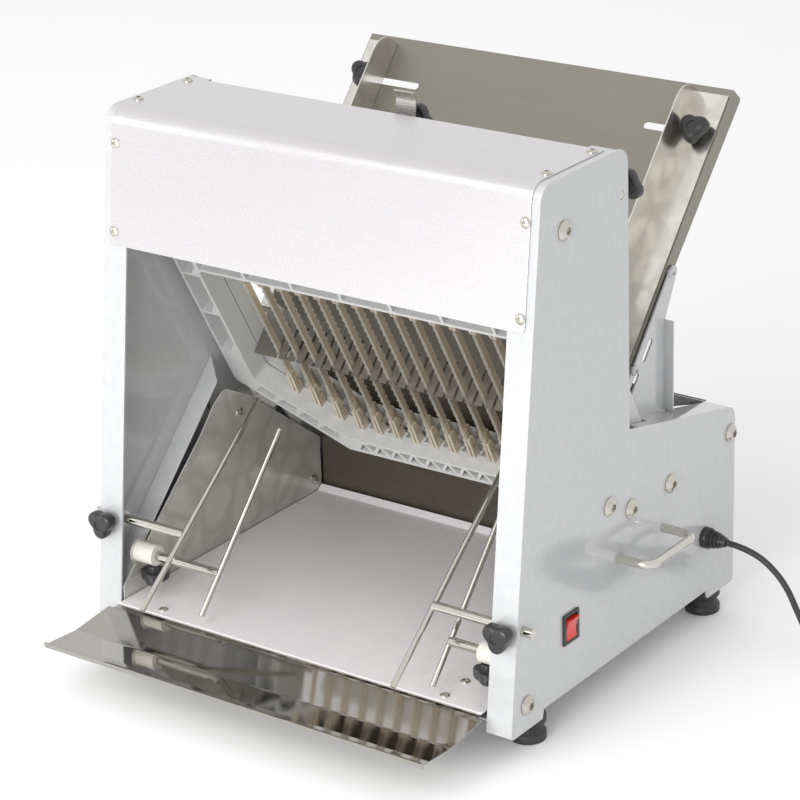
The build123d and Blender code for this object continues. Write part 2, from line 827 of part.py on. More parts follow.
def connecting_rod(side, rear):
    """Flat rod from a crank pin up to a blade frame's wrist pin."""
    x_from, x_to = rod_rear_x if rear else rod_front_x
    big = crank_point(1 if rear else -1)
    bar_p = guide_bar_place(rear_range(frame_front_p) if rear else frame_front_p)
    small = on_blade(0, bar_p, rear_wrist_v if rear else front_wrist_v)
    reach = small - big
    face = make_hull((Pos(big.Y, big.Z) * Circle(rod_big_end)).edges()
                     + (Pos(big.Y + reach.Y * 0.5, big.Z + reach.Z * 0.5) * Circle(5.0)).edges())
    face += make_hull((Pos(small.Y, small.Z) * Circle(rod_small_end)).edges()
                      + (Pos(big.Y + reach.Y * 0.5, big.Z + reach.Z * 0.5) * Circle(5.0)).edges())
    face -= Pos(big.Y, big.Z) * Circle(crank_pin_radius + pin_clear)
    face -= Pos(small.Y, small.Z) * Circle(wrist_pin_radius + pin_clear)
    return slab(face, sides[side] * x_from, sides[side] * x_to)


def pulley(radius, bore):
    """Single-groove V-belt pulley on its own axis at X = 0, with a grub-screw hub."""
    width = pulley_x[1] - pulley_x[0]
    depth = belt_thickness + 1.5
    profile = Polyline((bore, 0), (radius, 0), (radius, width / 2 - belt_width / 2 - 0.5),
                       (radius - depth, width / 2 - belt_width / 2 + 1.2),
                       (radius - depth, width / 2 + belt_width / 2 - 1.2),
                       (radius, width / 2 + belt_width / 2 + 0.5), (radius, width), (bore, width), close=True)
    return revolve(Plane.XZ * make_face(profile), Axis.Z)


def on_x_axis(solid, y, z, x_from):
    """Put a part that was turned about Z onto an axis along X."""
    return Pos(x_from, y, z) * Rot(0, 90, 0) * solid


def drive_belt():
    """Belt round the two pulleys, riding in their grooves."""
    big = main_pulley_radius - belt_thickness
    small = motor_pulley_radius - belt_thickness
    inner = make_hull((Pos(crank_y, crank_z) * Circle(big)).edges() + (Pos(motor_y, motor_z) * Circle(small)).edges())
    outer = make_hull((Pos(crank_y, crank_z) * Circle(main_pulley_radius + 0.2)).edges()
                      + (Pos(motor_y, motor_z) * Circle(motor_pulley_radius + 0.2)).edges())
    mid = sum(pulley_x) / 2
    half = belt_width / 2 - 1.6
    return slab(outer - inner, mid - half, mid + half)


def motor():
    """Induction motor with its end bells, shaft and terminal box."""
    x_low, x_high = motor_x
    body = rod((x_low + 18, motor_y, motor_z), (x_high - 18, motor_y, motor_z), motor_radius)
    body += rod((x_low, motor_y, motor_z), (x_low + 18, motor_y, motor_z), motor_radius - 4)
    body += rod((x_high - 18, motor_y, motor_z), (x_high, motor_y, motor_z), motor_radius - 4)
    body += block((-50, 0), (motor_y + 20, machine_rear - 8), (motor_z + 20, motor_z + 44))
    return body


def motor_bracket():
    """Upright plate that carries the motor by its face, standing on the base plate."""
    low = skirt_bottom + base_sheet
    shape = outline([(141, 156), (141, 222), (227, 222), (232, low), (176, low), (173, 122)], [6, 8, 8, 0, 0, 6])
    plate = slab(shape, motor_x[1], motor_x[1] + 5)
    plate -= rod((motor_x[1] - 1, crank_y, crank_z), (motor_x[1] + 6, crank_y, crank_z), shaft_radius + 6)
    plate -= rod((motor_x[1] - 1, motor_y, motor_z), (motor_x[1] + 6, motor_y, motor_z), 12)
    plate += block((motor_x[1] - 40, motor_x[1]), (180, 230), (low, low + 4))
    return plate


def shaft_bearings():
    """Two pillow blocks that carry the crankshaft."""
    low = skirt_bottom + base_sheet
    shape = Pos(crank_y, crank_z) * Circle(22) + outline([(172, low), (172, low + 10), (184, low + 14), (crank_y - 20, crank_z),
                                                          (crank_y + 20, crank_z), (216, low + 14), (228, low + 10),
                                                          (228, low)])
    shape -= Pos(crank_y, crank_z) * Circle(shaft_radius + pin_clear)
    return mirrored(slab(shape, *bearing_x))


def chute():
    """Infeed chute with folded sides, adjusting slots and the slotted comb that the blades work in."""
    half = [(chute_half, 0), (chute_half, -chute_neck_s), (chute_neck_half, -chute_neck_s - 6),
            (chute_neck_half, -chute_length)]
    face = outline(half + [(-x, y) for x, y in half[::-1]], [2, 3, 3, 2, 2, 3, 3, 2])
    pitch_half = (slice_slots - 1) / 2
    for index in range(slice_slots):
        x = slice_pitch * (index - pitch_half)
        face -= Pos(x, -(comb_start_s + chute_length + 2) / 2) * Rectangle(comb_slot, chute_length + 2 - comb_start_s)
    for s in slot_s:
        for sign in (-1, 1):
            mid = sign * sum(slot_x) / 2
            face -= Pos(mid, -s) * SlotOverall(slot_x[1] - slot_x[0] + slot_width, slot_width)
    sheet = extrude(chute_plane.offset(-chute_sheet) * face, amount=chute_sheet)
    side_face = outline([(0, 0), (0, -chute_flange[0]), (chute_neck_s, -chute_flange[1]), (chute_neck_s, 0)],
                        [0, 4, 3, 0])
    for sign in (-1, 1):
        start = chute_half if sign > 0 else -chute_half + chute_sheet
        fold_plane = Plane(origin=(start, chute_top_y, chute_top_z), x_dir=chute_down, z_dir=(-1, 0, 0))
        sheet += extrude(fold_plane * side_face, amount=chute_sheet)
    return sheet


def chute_point(x, s, height):
    """Point given by its place on the chute and its height above it."""
    return Vector(x, chute_top_y, chute_top_z) + chute_down * s + chute_normal * height


def chute_supports():
    """Uprights that carry the chute from the wings, with their adjusting slots and screws."""
    low_z = 245.0
    front = (frame_mid_p + frame_gap / 2 + frame_depth + 3, low_z)
    front_low = ((front[0] - low_z * math.cos(tilt)) / math.sin(tilt), low_z)
    top_front = chute_point(0, chute_neck_s + 2, -5)
    top_rear = chute_point(0, 196, -4)
    rear_high = chute_point(0, 190, -16)
    face = outline([front_low, (top_front.Y, top_front.Z), (top_rear.Y, top_rear.Z), (rear_high.Y, rear_high.Z),
                    (147, 352), (147, low_z)], [2, 3, 6, 6, 8, 2])
    for y, z in ((112, 328), (86, 300)):
        face -= Pos(y, z) * Rot(0, 0, chute_slope) * SlotOverall(26, 7)
    plate = slab(face, flange_inner - 2, flange_inner)
    plate += block((flange_inner - 2, flange_inner + 10), (145, 147), (wing_z(147) + 2, 350))
    pads = []
    for s in (202.0, 310.0):
        start = chute_point(chute_half, s, -8)
        end = chute_point(flange_inner - 2, s, -8)
        pads += mirrored(rod(start, end, 4))
        pads += mirrored(screw(chute_point(flange_inner, s, -8), (1, 0, 0), screw_head_radius, 3.0))
    return mirrored(plate) + pads


def loaf_guide(side):
    """Bright angle that guides the loaf, with a pin in the chute's lower slot."""
    s_top, s_low = loaf_guide_s
    flat_low = sheet_gap
    flat = Pos((loaf_guide_inner + loaf_guide_outer) / 2, -(s_top + s_low) / 2) * Rectangle(
        loaf_guide_outer - loaf_guide_inner, s_low - s_top)
    flat -= Pos(loaf_guide_knob_x, -slot_s[0]) * Circle(knob_stud + sheet_gap)
    guide = extrude(chute_plane.offset(flat_low) * flat, amount=1.5)
    leg = outline([(s_top, flat_low), (s_low, flat_low), (s_low, loaf_guide_height), (s_top, loaf_guide_height)],
                  [0, 0, 3, 26])
    leg_plane = Plane(origin=(loaf_guide_inner, chute_top_y, chute_top_z), x_dir=chute_down, z_dir=(-1, 0, 0))
    guide += extrude(leg_plane * leg, amount=-1.5)
    pin_top = chute_point(loaf_guide_knob_x, slot_s[1], flat_low + 0.5)
    guide += rod(pin_top, chute_point(loaf_guide_knob_x, slot_s[1], -6), 3.4)
    return guide if sides[side] > 0 else mirror(guide, Plane.YZ)


def loaf_guide_knob(side):
    """Star knob with its stud and clamping washer under the chute."""
    x = sides[side] * loaf_guide_knob_x
    under = sheet_gap + 1.5 + knob_collar[1] + sheet_gap
    knob = star_knob(chute_point(x, slot_s[0], under), chute_normal, 14.0)
    washer_top = chute_point(x, slot_s[0], -chute_sheet - sheet_gap)
    washer_low = chute_point(x, slot_s[0], -chute_sheet - 3.3)
    return knob + rod(washer_top, washer_low, 7)


def hold_down_shaft():
    """Cross shaft of the hold-down flap, with its ends turned down for the side panels."""
    centre = Vector(0, flap_y, flap_z)
    shaft = rod(at_x(centre, -panel_inner + 1), at_x(centre, panel_inner - 1), flap_shaft_radius)
    for sign in (-1, 1):
        shaft += rod(at_x(centre, sign * (panel_inner - 1)), at_x(centre, sign * (panel_face - 0.3)), flap_journal_radius)
    return shaft


def hold_down_plate():
    """Curved flap that keeps the loaf down on the blades, with its finger strip above the cover."""
    reach = flap_shaft_radius + 1.5
    path = [(flap_y + 4, flap_z - 3), (flap_y + 8, flap_z - flap_length * 0.6), (flap_y + 26, flap_z - flap_length)]
    flap = slab(bent_strip(path, 30.0, 1.5), -flap_half, flap_half)
    strip_path = [(flap_y + 3, flap_z + 2), (flap_y + 11, flap_z + 20), (flap_y + 17, strip_top - 9),
                  (flap_y + 12, strip_top - 1.0)]
    strip = slab(bent_strip(strip_path, 4.0, 1.8), -strip_half, strip_half)
    sleeve = Pos(flap_y, flap_z) * Circle(reach + 0.5) - Pos(flap_y, flap_z) * Circle(flap_shaft_radius)
    hub = slab(sleeve, -flap_half, flap_half)
    shaft_room = rod((-flap_half - 1, flap_y, flap_z), (flap_half + 1, flap_y, flap_z), flap_shaft_radius)
    x, y, z = centre_knob_at
    stud_room = rod((x, y - 30, z), (x, y, z), knob_stud + sheet_gap)
    return flap + hub + strip - shaft_room - stud_room


def flap_knob_points():
    """Undersides of the two knobs that clamp the flap's shaft ends."""
    return {side: (sides[side] * 248.0, flap_y + 24.0, flap_z) for side in sides}


def shaft_clamps():
    """Small clamp blocks inside the side panels that hold the flap's shaft."""
    shape = outline([(flap_y - 11, flap_z - 11), (flap_y + 13, flap_z - 11), (flap_y + 13, flap_z + 11),
                     (flap_y - 11, flap_z + 11)], 4)
    shape -= Pos(flap_y, flap_z) * Circle(flap_shaft_radius + pin_clear)
    clamp = slab(shape, 239.0, panel_inner)
    x, y, z = flap_knob_points()["right"]
    clamp -= rod((x, flap_y + flap_shaft_radius - 2, z), (x, y, z), knob_stud + sheet_gap)
    return mirrored(clamp)


def fence(cross, top, end, joint_x, outer_x):
    """T-shaped fence for the left side: a round cross rod welded to a sloping guide rod."""
    piece = rod((-outer_x, *cross), (-joint_x, *cross), cross_radius)
    offset = Vector(0, *cross) - Vector(0, *top)
    direction = (Vector(0, *end) - Vector(0, *top)).normalized()
    beside = offset - direction * offset.dot(direction)
    top_point = Vector(-joint_x, *top) + beside
    end_point = Vector(-joint_x, *end) + beside
    piece += rod(top_point, end_point, fence_radius)
    return piece


def upper_fence(side):
    """Fence that slides in the boss behind the front flange."""
    piece = fence(upper_cross, upper_rod_top, upper_rod_end, upper_joint_x, upper_cross_end)
    return piece if side == "left" else mirror(piece, Plane.YZ)


def lower_fence(side):
    """Fence that slides in the boss on the guard."""
    joint = lower_joint_left if side == "left" else lower_joint_right
    piece = fence(lower_cross, lower_rod_top, lower_rod_end, joint, joint + lower_cross_length)
    return piece if side == "left" else mirror(piece, Plane.YZ)


def fence_bosses():
    """Drilled bosses of the four fences, each with a hole for its clamping stud."""
    upper = rod((upper_boss_x[0], *upper_cross), (upper_boss_x[1], *upper_cross), upper_boss_radius)
    upper -= rod((upper_boss_x[0] - 1, *upper_cross), (upper_boss_x[1] + 1, *upper_cross), fence_boss_bore)
    knob_y = front_y(upper_cross[1])
    upper -= rod((upper_knob_x(), knob_y, upper_cross[1]), (upper_knob_x(), upper_cross[0] - 4, upper_cross[1]),
                 knob_stud + sheet_gap)
    lower = rod((lower_boss_x[0], *lower_cross), (lower_boss_x[1], *lower_cross), lower_boss_radius)
    lower -= rod((lower_boss_x[0] - 1, *lower_cross), (lower_boss_x[1] + 1, *lower_cross), fence_boss_bore)
    low_x = lower_knob_x()
    lower -= rod((low_x, lower_cross[0], lower_cross[1] - lower_boss_radius - 1),
                 (low_x, lower_cross[0], lower_cross[1] - 4), knob_stud + sheet_gap)
    return mirrored(upper) + mirrored(lower)


def lower_knob_x():
    """The lower fence's knob stands near the inner end of its boss."""
    return lower_boss_x[0] + 6


def upper_fence_knob(side):
    """Star knob on the front flange, with its stud through the flange into the boss."""
    reach = cross_radius + 0.5
    flange_y = front_y(upper_cross[1])
    under = flange_y - knob_collar[1] - 1.3
    stud = upper_cross[0] - reach - under
    point = (sides[side] * upper_knob_x(), under, upper_cross[1])
    return star_knob(point, (0, -1, 0), stud)


def lower_fence_knob(side):
    """Star knob hanging under the guard's boss, with its stud up into it."""
    under = lower_cross[1] - lower_boss_radius - knob_collar[1] - sheet_gap
    stud = lower_cross[1] - cross_radius - 0.5 - under
    return star_knob((sides[side] * lower_knob_x(), lower_cross[0], under), (0, 0, -1), stud)


def floor_plate():
    """Brushed floor of the pull-out tray, hemmed up at the rear."""
    path = [(tray_joint_y + 1, floor_top - floor_sheet), (floor_rear, floor_top - floor_sheet),
            (floor_rear + 8, floor_top + 4.5)]
    return slab(bent_strip(path, 2.0, floor_sheet), -floor_half, floor_half)


def discharge_tray():
    """Polished curved tray in front of the floor, hemmed along its lip."""
    sheet = 1.2
    rear_low = floor_top - floor_sheet - sheet
    path = [(tray_joint_y + 24, rear_low), (tray_joint_y - 6, rear_low), tray_low, (tray_lip_y + 12, tray_low[1] + 2.5),
            (tray_lip_y, tray_lip_z - 4)]
    pan = slab(bent_strip(path, 20.0, -sheet), -tray_half + 7.0, tray_half - 7.0)
    wide = [(tray_joint_y - 8, rear_low - 0.2), tray_low, (tray_lip_y + 12, tray_low[1] + 2.5), (tray_lip_y, tray_lip_z - 4)]
    pan += slab(bent_strip(wide, 20.0, -sheet), -tray_half, tray_half)
    hem = outline([(tray_lip_y, tray_lip_z - 5.5), (tray_lip_y - 1.0, tray_lip_z), (tray_lip_y + 1.5, tray_lip_z),
                   (tray_lip_y + 5, tray_lip_z - 7.5)])
    return pan + slab(hem, -tray_half, tray_half)


def tray_screws():
    """Screws that join the tray to the floor plate."""
    screws = []
    for x in (-177.0, 177.0):
        screws.append(screw((x, tray_joint_y + 12, floor_top), (0, 0, 1), 5.0, 2.4))
    screws.append(screw((177.0, -142.0, floor_top), (0, 0, 1), 5.0, 2.4))
    return screws


def tray_runners():
    """Angle strips on the base plate that the tray slides on."""
    low = skirt_bottom + base_sheet
    high = floor_top - floor_sheet - sheet_gap
    runners = []
    for sign in (-1, 1):
        runner = block((sign * (guard_inner - 0.5), sign * (guard_inner - runner_width)), (-150, 158), (high - 2, high))
        runner += block((sign * (guard_inner - 0.5), sign * (guard_inner - 2.5)), (-150, 158), (low, high))
        runners.append(runner)
    return runners


def switch_housing():
    """Bezel and body of the mains switch."""
    y_limits = (switch_y - switch_half_y, switch_y + switch_half_y)
    z_limits = (switch_z - switch_half_z, switch_z + switch_half_z)
    housing = block((panel_face, panel_face + 2.5), y_limits, z_limits)
    housing += block((panel_face - switch_depth, panel_face), (switch_y - 11, switch_y + 11), (switch_z - 14, switch_z + 14))
    housing -= block((panel_face - 9, panel_face + 3), (switch_y - 9.5, switch_y + 9.5), (switch_z - 13, switch_z + 13))
    return housing


def switch_rocker():
    """Red rocker with a hollowed face, tipped to its off position."""
    half = rocker_half_z
    face = make_face(Polyline((7.5, half), (0.5, half - 0.8), (-3.0, 0.0), (0.5, 0.8 - half), (7.5, -half))
                     + ThreePointArc((7.5, -half), (5.3, 0), (7.5, half)))
    body = extrude(Plane.XZ.offset(-9.0) * face, amount=18.0)
    return Pos(panel_face - rocker_depth, switch_y, switch_z) * Rot(0, rocker_tip, 0) * body


def cable_gland():
    """Strain relief nut on the right panel, tapering onto the cord."""
    inner = panel_inner - 6
    end = panel_face + gland_length
    bore = cord_diameter / 2
    profile = [(bore, 0), (7.8, 0), (7.8, panel_face - inner), (11.5, panel_face - inner), (11.5, panel_face - inner + 7),
               (10.0, panel_face - inner + 8), (10.0, panel_face - inner + 17), (6.2, end - inner), (bore, end - inner)]
    nut = revolve(Plane.XZ * make_face(Polyline(*profile, close=True)), Axis.Z)
    return on_x_axis(nut, gland_y, gland_z, inner)


def cord_route():
    """Points of the free cord, from inside the gland down to the bench and on to the coil."""
    start = panel_face + gland_length
    flat = cord_diameter / 2 + 0.1
    entry_y = coil_centre[1] - coil_outer
    return [
        Vector(start, gland_y, gland_z),
        Vector(start + 30, gland_y + 1, gland_z - 1),
        Vector(start + 64, gland_y + 5, gland_z - 28),
        Vector(start + 82, gland_y + 7, gland_z - 66),
        Vector(start + 98, gland_y + 8, flat + 5),
        Vector(coil_centre[0] - 14, entry_y, flat),
        Vector(coil_centre[0], entry_y, flat),
    ]


def route_radii(points):
    """Arc radius at each inner point: as large as the two runs beside it allow."""
    radii = []
    for before, here, after in zip(points, points[1:], points[2:]):
        turn = math.radians((here - before).get_angle(after - here))
        shorter = min((here - before).length, (after - here).length)
        radii.append(0.45 * shorter / math.tan(turn / 2))
    return radii


def free_cord():
    """Round tube along the cord's free stretch."""
    points = cord_route()
    radii = route_radii(points)
    print("cord radii", [round(radius, 1) for radius in radii])
    path = FilletPolyline(*points, radius=radii)
    tube = sweep(Plane(origin=path @ 0, z_dir=path % 0) * Circle(cord_diameter / 2), path)
    section = math.pi * cord_diameter ** 2 / 4
    print("cord length", round(path.length, 1), "volume over section times length",
          round(tube.volume / (section * path.length), 5))
    return tube


def coil_point(turn):
    """Centre line of the coil after a number of turns: in on the bench, up, and out again on top."""
    climb = 0.5
    low = cord_diameter / 2 + 0.1
    reversal = coil_turns + climb / 2
    radius = coil_outer - coil_pitch * (reversal - abs(turn - reversal))
    share = min(max((turn - coil_turns) / climb, 0), 1)
    height = low + coil_pitch * (1 - math.cos(math.pi * share)) / 2
    angle = 2 * math.pi * turn - math.pi / 2
    return Vector(coil_centre[0] + radius * math.cos(angle), coil_centre[1] + radius * math.sin(angle), height)


def coil_tangent(turn):
    """Direction of the coil's centre line."""
    step = 0.002
    return (coil_point(turn + step) - coil_point(turn - step)).normalized()


def biarc(start, start_tangent, end, end_tangent):
    """Two arcs that join two points with a tangent at each."""
    chord = end - start
    a = 2 - 2 * start_tangent.dot(end_tangent)
    b = 2 * chord.dot(start_tangent + end_tangent)
    c = -chord.dot(chord)
    reach = (-b + math.sqrt(b * b - 4 * a * c)) / (2 * a) if a > 1e-9 else -c / b
    joint = (start + end) * 0.5 + (start_tangent - end_tangent) * (reach / 2)
    first = TangentArc(start, joint, tangent=start_tangent)
    second = TangentArc(joint, end, tangent=first % 1)
    return [first, second]


def coil_end():
    """Number of turns in both layers, with the half turn that climbs between them."""
    return 2 * coil_turns + 0.5


def plug_start():
    """Where the cord runs into the plug, and its direction there."""
    direction = coil_tangent(coil_end())
    direction = Vector(direction.X, direction.Y, 0).normalized()
    return coil_point(coil_end()) + direction * plug_lead, direction


def cord_coil():
    """Put-away length of the cord, wound in two layers beside the machine."""
    steps = int(round(coil_end() * 4))
    turns = [coil_end() * index / steps for index in range(steps + 1)]
    edges = []
    tangent = Vector(1, 0, 0)
    end_point, end_tangent = plug_start()
    for near, far in zip(turns, turns[1:]):
        target = coil_tangent(far) if far < coil_end() else end_tangent
        edges += biarc(coil_point(near), tangent, coil_point(far), target)
        tangent = target
    edges.append(Line(coil_point(coil_end()), end_point))
    wire = Wire([edge.edges()[0] for edge in edges])
    plane = Plane(origin=coil_point(0), x_dir=(0, 0, 1), z_dir=(1, 0, 0))
    section = plane * Rot(0, 0, 180 / cord_sides) * RegularPolygon(cord_diameter / 2, cord_sides, major_radius=False)
    coil = sweep(section, wire)
    print("coil length", round(wire.length, 1), "least gap", round(coil_gap(), 2), "volume ratio",
          round(coil.volume / (section.area * wire.length), 4))
    return coil


def coil_gap():
    """Least gap of the coil's tube to itself, on points along its centre line."""
    count = 400
    points = [coil_point(coil_end() * index / count) for index in range(count + 1)]
    skip = int(count / coil_end() * 0.5)
    least = min((points[i] - points[j]).length for i in range(count + 1) for j in range(i + skip, count + 1))
    return least - cord_diameter


def plug():
    """Moulded mains plug lying beside the coil, with its own strain relief and three flat pins."""
    start, direction = plug_start()
    plane = Plane(origin=start, x_dir=(0, 0, 1), z_dir=direction)
    relief = loft([plane * Circle(4.2), plane.offset(22) * Circle(6.4)])
    half = start.Z - 0.2
    body = loft([plane.offset(22) * RectangleRounded(2 * half * 0.8, 16, 4),
                 plane.offset(38) * RectangleRounded(2 * half, 27, 6), plane.offset(52) * RectangleRounded(2 * half, 29, 6)])
    pins = [extrude(plane.offset(52) * Pos(place[0], place[1]) * Rectangle(place[2], place[3]), amount=17)
            for place in ((-4, 0, 5.5, 2.2), (3.5, -7, 5.5, 2.2), (3.5, 7, 5.5, 2.2))]
    piece = relief + body
    for pin in pins:
        piece += pin
    return piece


front_frame_solid = with_wrist_pins(blade_frame(rear_blade_xs(), front_wrist_v), rod_front_x[0] - 0.5,
                                    guide_bar_place(frame_front_p))
rear_frame_solid = to_rear(blade_frame(front_blade_xs(), rear_wrist_v))
flap_knob_at = flap_knob_points()
flap_stud = flap_knob_at["left"][1] - flap_y - flap_shaft_radius - 0.5

nodes = {
    "left_side_panel": [side_panel("left")],
    "right_side_panel": [side_panel("right")],
    "top_cover": [top_cover()],
    "panel_fasteners": cover_screws() + side_bolts(),
    "rear_cover": [rear_cover()],
    "housing_lid": [housing_lid()],
    "base_plate": [base_plate()],
    "inner_bulkhead": [inner_bulkhead()],
    "side_guards": side_guards(),
    "guard_rails": mirrored(guard_rail()),
    "tray_runners": tray_runners(),
    "chute": [chute()],
    "chute_supports": chute_supports(),
    "rubber_feet": rubber_feet(),
    "lifting_handles": lifting_handles(),
    "frame_guide_blocks": mirrored(guide_block(True)) + mirrored(guide_block(False)),
    "clamp_bosses": fence_bosses() + shaft_clamps(),
    "switch_housing": [switch_housing()],
    "motor": [motor()],
    "motor_bracket": [motor_bracket()],
    "shaft_bearings": shaft_bearings(),
    "drive_belt": [drive_belt()],
    "cable_gland": [cable_gland()],
    "power_cord": [free_cord()],
    "cord_coil": [cord_coil()],
    "plug": [plug()],
    "crankshaft": [crankshaft()],
    "main_pulley": [on_x_axis(pulley(main_pulley_radius, shaft_radius), crank_y, crank_z, pulley_x[0])],
    "motor_pulley": [on_x_axis(pulley(motor_pulley_radius, 0), motor_y, motor_z, pulley_x[0])
                     + rod((motor_x[1] + 0.5, motor_y, motor_z), (pulley_x[0], motor_y, motor_z), 7)],
    "front_blade_frame": [front_frame_solid],
    "front_blades": blades_at(front_blade_xs()),
    "front_hooks": hooks_at(front_blade_xs()),
    "rear_blade_frame": [rear_frame_solid],
    "rear_blades": [to_rear(blade) for blade in blades_at(rear_blade_xs())],
    "rear_hooks": [to_rear(hook) for hook in hooks_at(rear_blade_xs())],
    "hold_down_shaft": [hold_down_shaft()],
    "hold_down_plate": [hold_down_plate()],
    "flap_centre_knob": [star_knob(centre_knob_at, (0, 1, 0), 14.0)],
    "floor_plate": [floor_plate()],
    "discharge_tray": [discharge_tray()],
    "tray_screws": tray_screws(),
    "switch_rocker": [switch_rocker()],
}
for side in sides:
    for rear in (False, True):
        name = side + ("_rear" if rear else "_front") + "_connecting_rod"
        nodes[name] = [connecting_rod(side, rear)]
    nodes[side + "_loaf_guide"] = [loaf_guide(side)]
    nodes[side + "_guide_knob"] = [loaf_guide_knob(side)]
    nodes[side + "_flap_knob"] = [star_knob(flap_knob_at[side], (0, 1, 0), flap_stud)]
    nodes[side + "_upper_fence"] = [upper_fence(side)]
    nodes[side + "_lower_fence"] = [lower_fence(side)]
nodes["left_upper_fence_knob"] = [upper_fence_knob("left")]
nodes["right_upper_fence_knob"] = [upper_fence_knob("right")]
nodes["left_lower_fence_knob"] = [lower_fence_knob("left")]
nodes["right_lower_fence_knob"] = [lower_fence_knob("right")]

for name, solids in nodes.items():
    export_step(Compound(children=solids), "parts/" + name + ".step")
print("nodes", len(nodes))
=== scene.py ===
"""Looks of a bench bread slicer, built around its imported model.

Metres, in the model's own frame: +X is the machine's right seen from the front, -Y the front, +Z up.
"""

import json
import logging
import math
from dataclasses import dataclass
from enum import Enum

import bmesh
import bpy
import numpy as np
from mathutils import Matrix, Vector

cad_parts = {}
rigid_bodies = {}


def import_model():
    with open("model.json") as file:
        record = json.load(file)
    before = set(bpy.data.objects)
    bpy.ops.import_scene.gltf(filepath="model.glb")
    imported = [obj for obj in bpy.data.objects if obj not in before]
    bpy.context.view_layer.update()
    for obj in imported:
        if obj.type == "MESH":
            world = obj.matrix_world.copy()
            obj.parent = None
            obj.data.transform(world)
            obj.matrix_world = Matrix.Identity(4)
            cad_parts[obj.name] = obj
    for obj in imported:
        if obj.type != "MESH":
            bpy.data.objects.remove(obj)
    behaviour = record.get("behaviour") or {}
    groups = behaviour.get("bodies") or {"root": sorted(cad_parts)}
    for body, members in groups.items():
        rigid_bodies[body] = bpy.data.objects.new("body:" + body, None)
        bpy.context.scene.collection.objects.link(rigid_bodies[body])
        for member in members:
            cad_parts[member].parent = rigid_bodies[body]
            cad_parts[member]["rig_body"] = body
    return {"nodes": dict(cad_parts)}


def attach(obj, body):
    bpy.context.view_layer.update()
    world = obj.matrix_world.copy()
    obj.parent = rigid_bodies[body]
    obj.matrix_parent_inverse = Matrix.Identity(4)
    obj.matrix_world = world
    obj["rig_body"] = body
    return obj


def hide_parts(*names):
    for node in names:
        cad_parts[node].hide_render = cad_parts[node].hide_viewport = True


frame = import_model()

log = logging.getLogger("bread_slicer")
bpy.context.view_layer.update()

BLADE_SLOPE = math.radians(61.0)
CHUTE_SLOPE = math.radians(49.0)
ALONG_BLADES = np.array([0.0, math.cos(BLADE_SLOPE), -math.sin(BLADE_SLOPE)])
ACROSS_BLADES = np.array([0.0, math.sin(BLADE_SLOPE), math.cos(BLADE_SLOPE)])
CHUTE_NORMAL = np.array([0.0, -math.sin(CHUTE_SLOPE), math.cos(CHUTE_SLOPE)])
CHUTE_DOWN = np.array([0.0, -math.cos(CHUTE_SLOPE), -math.sin(CHUTE_SLOPE)])
CHUTE_TOP = np.array([0.0, 0.2845, 0.5535])
SIDES = {"left": -1.0, "right": 1.0}
FULL_TURN = 2 * math.pi

# Points round a turned piece, how close points of a CAD mesh merge, and under what turn two faces are one
ROUND_STEPS = 48
MERGE_DISTANCE = 2e-6
FLAT_TURN = math.radians(0.3)


class Grain(Enum):
    """Which way a sheet's brushing runs."""

    NONE = "none"
    WIDTH = "width"
    DEPTH = "depth"
    BLADES = "blades"


class Skin(Enum):
    """What the surface of a finish is like close up."""

    SMOOTH = "smooth"
    ENAMEL = "enamel"
    CAST = "cast"
    FILM = "film"
    MOULDED = "moulded"


@dataclass(frozen=True)
class Finish:
    """One procedural finish: its colours, gloss, grain and skin."""

    name: str
    dark: tuple[float, float, float]
    light: tuple[float, float, float]
    metallic: float = 0.0
    roughness: tuple[float, float] = (0.3, 0.45)
    grain: Grain = Grain.NONE
    grain_depth: float = 0.15
    skin: Skin = Skin.SMOOTH
    skin_scale: float = 300.0
    skin_depth: float = 0.1
    marks: float = 0.3
    coat: float = 0.0


WHITE_PAINT = Finish(
    "white_paint", dark=(0.435, 0.443, 0.455), light=(0.475, 0.482, 0.488), roughness=(0.10, 0.16),
    skin=Skin.ENAMEL, skin_scale=120.0, skin_depth=0.012, marks=0.08, coat=0.7)
COVER_STEEL = Finish(
    "cover_steel", dark=(0.60, 0.585, 0.60), light=(0.675, 0.655, 0.675), metallic=0.8,
    roughness=(0.24, 0.36), grain=Grain.WIDTH, grain_depth=0.05, marks=0.2)
# Painted reflection: the chute's brushed stainless colour is darkened to stand in for the dark surroundings
# its steel reflects
CHUTE_STEEL = Finish(
    "chute_steel", dark=(0.24, 0.225, 0.19), light=(0.29, 0.275, 0.235), metallic=0.9,
    roughness=(0.32, 0.44), grain=Grain.WIDTH, grain_depth=0.10)
SATIN_STEEL = Finish(
    "satin_steel", dark=(0.50, 0.48, 0.45), light=(0.64, 0.62, 0.58), metallic=1.0,
    roughness=(0.24, 0.36), grain=Grain.WIDTH, grain_depth=0.1)
FILM_STEEL = Finish(
    "film_steel", dark=(0.56, 0.54, 0.49), light=(0.78, 0.76, 0.70), metallic=0.95,
    roughness=(0.16, 0.34), skin=Skin.FILM, skin_scale=26.0, skin_depth=0.10, marks=0.5)
MIRROR_STEEL = Finish(
    "mirror_steel", dark=(0.34, 0.33, 0.305), light=(0.44, 0.425, 0.395), metallic=1.0,
    roughness=(0.02, 0.08), grain=Grain.WIDTH, grain_depth=0.012, marks=0.5)
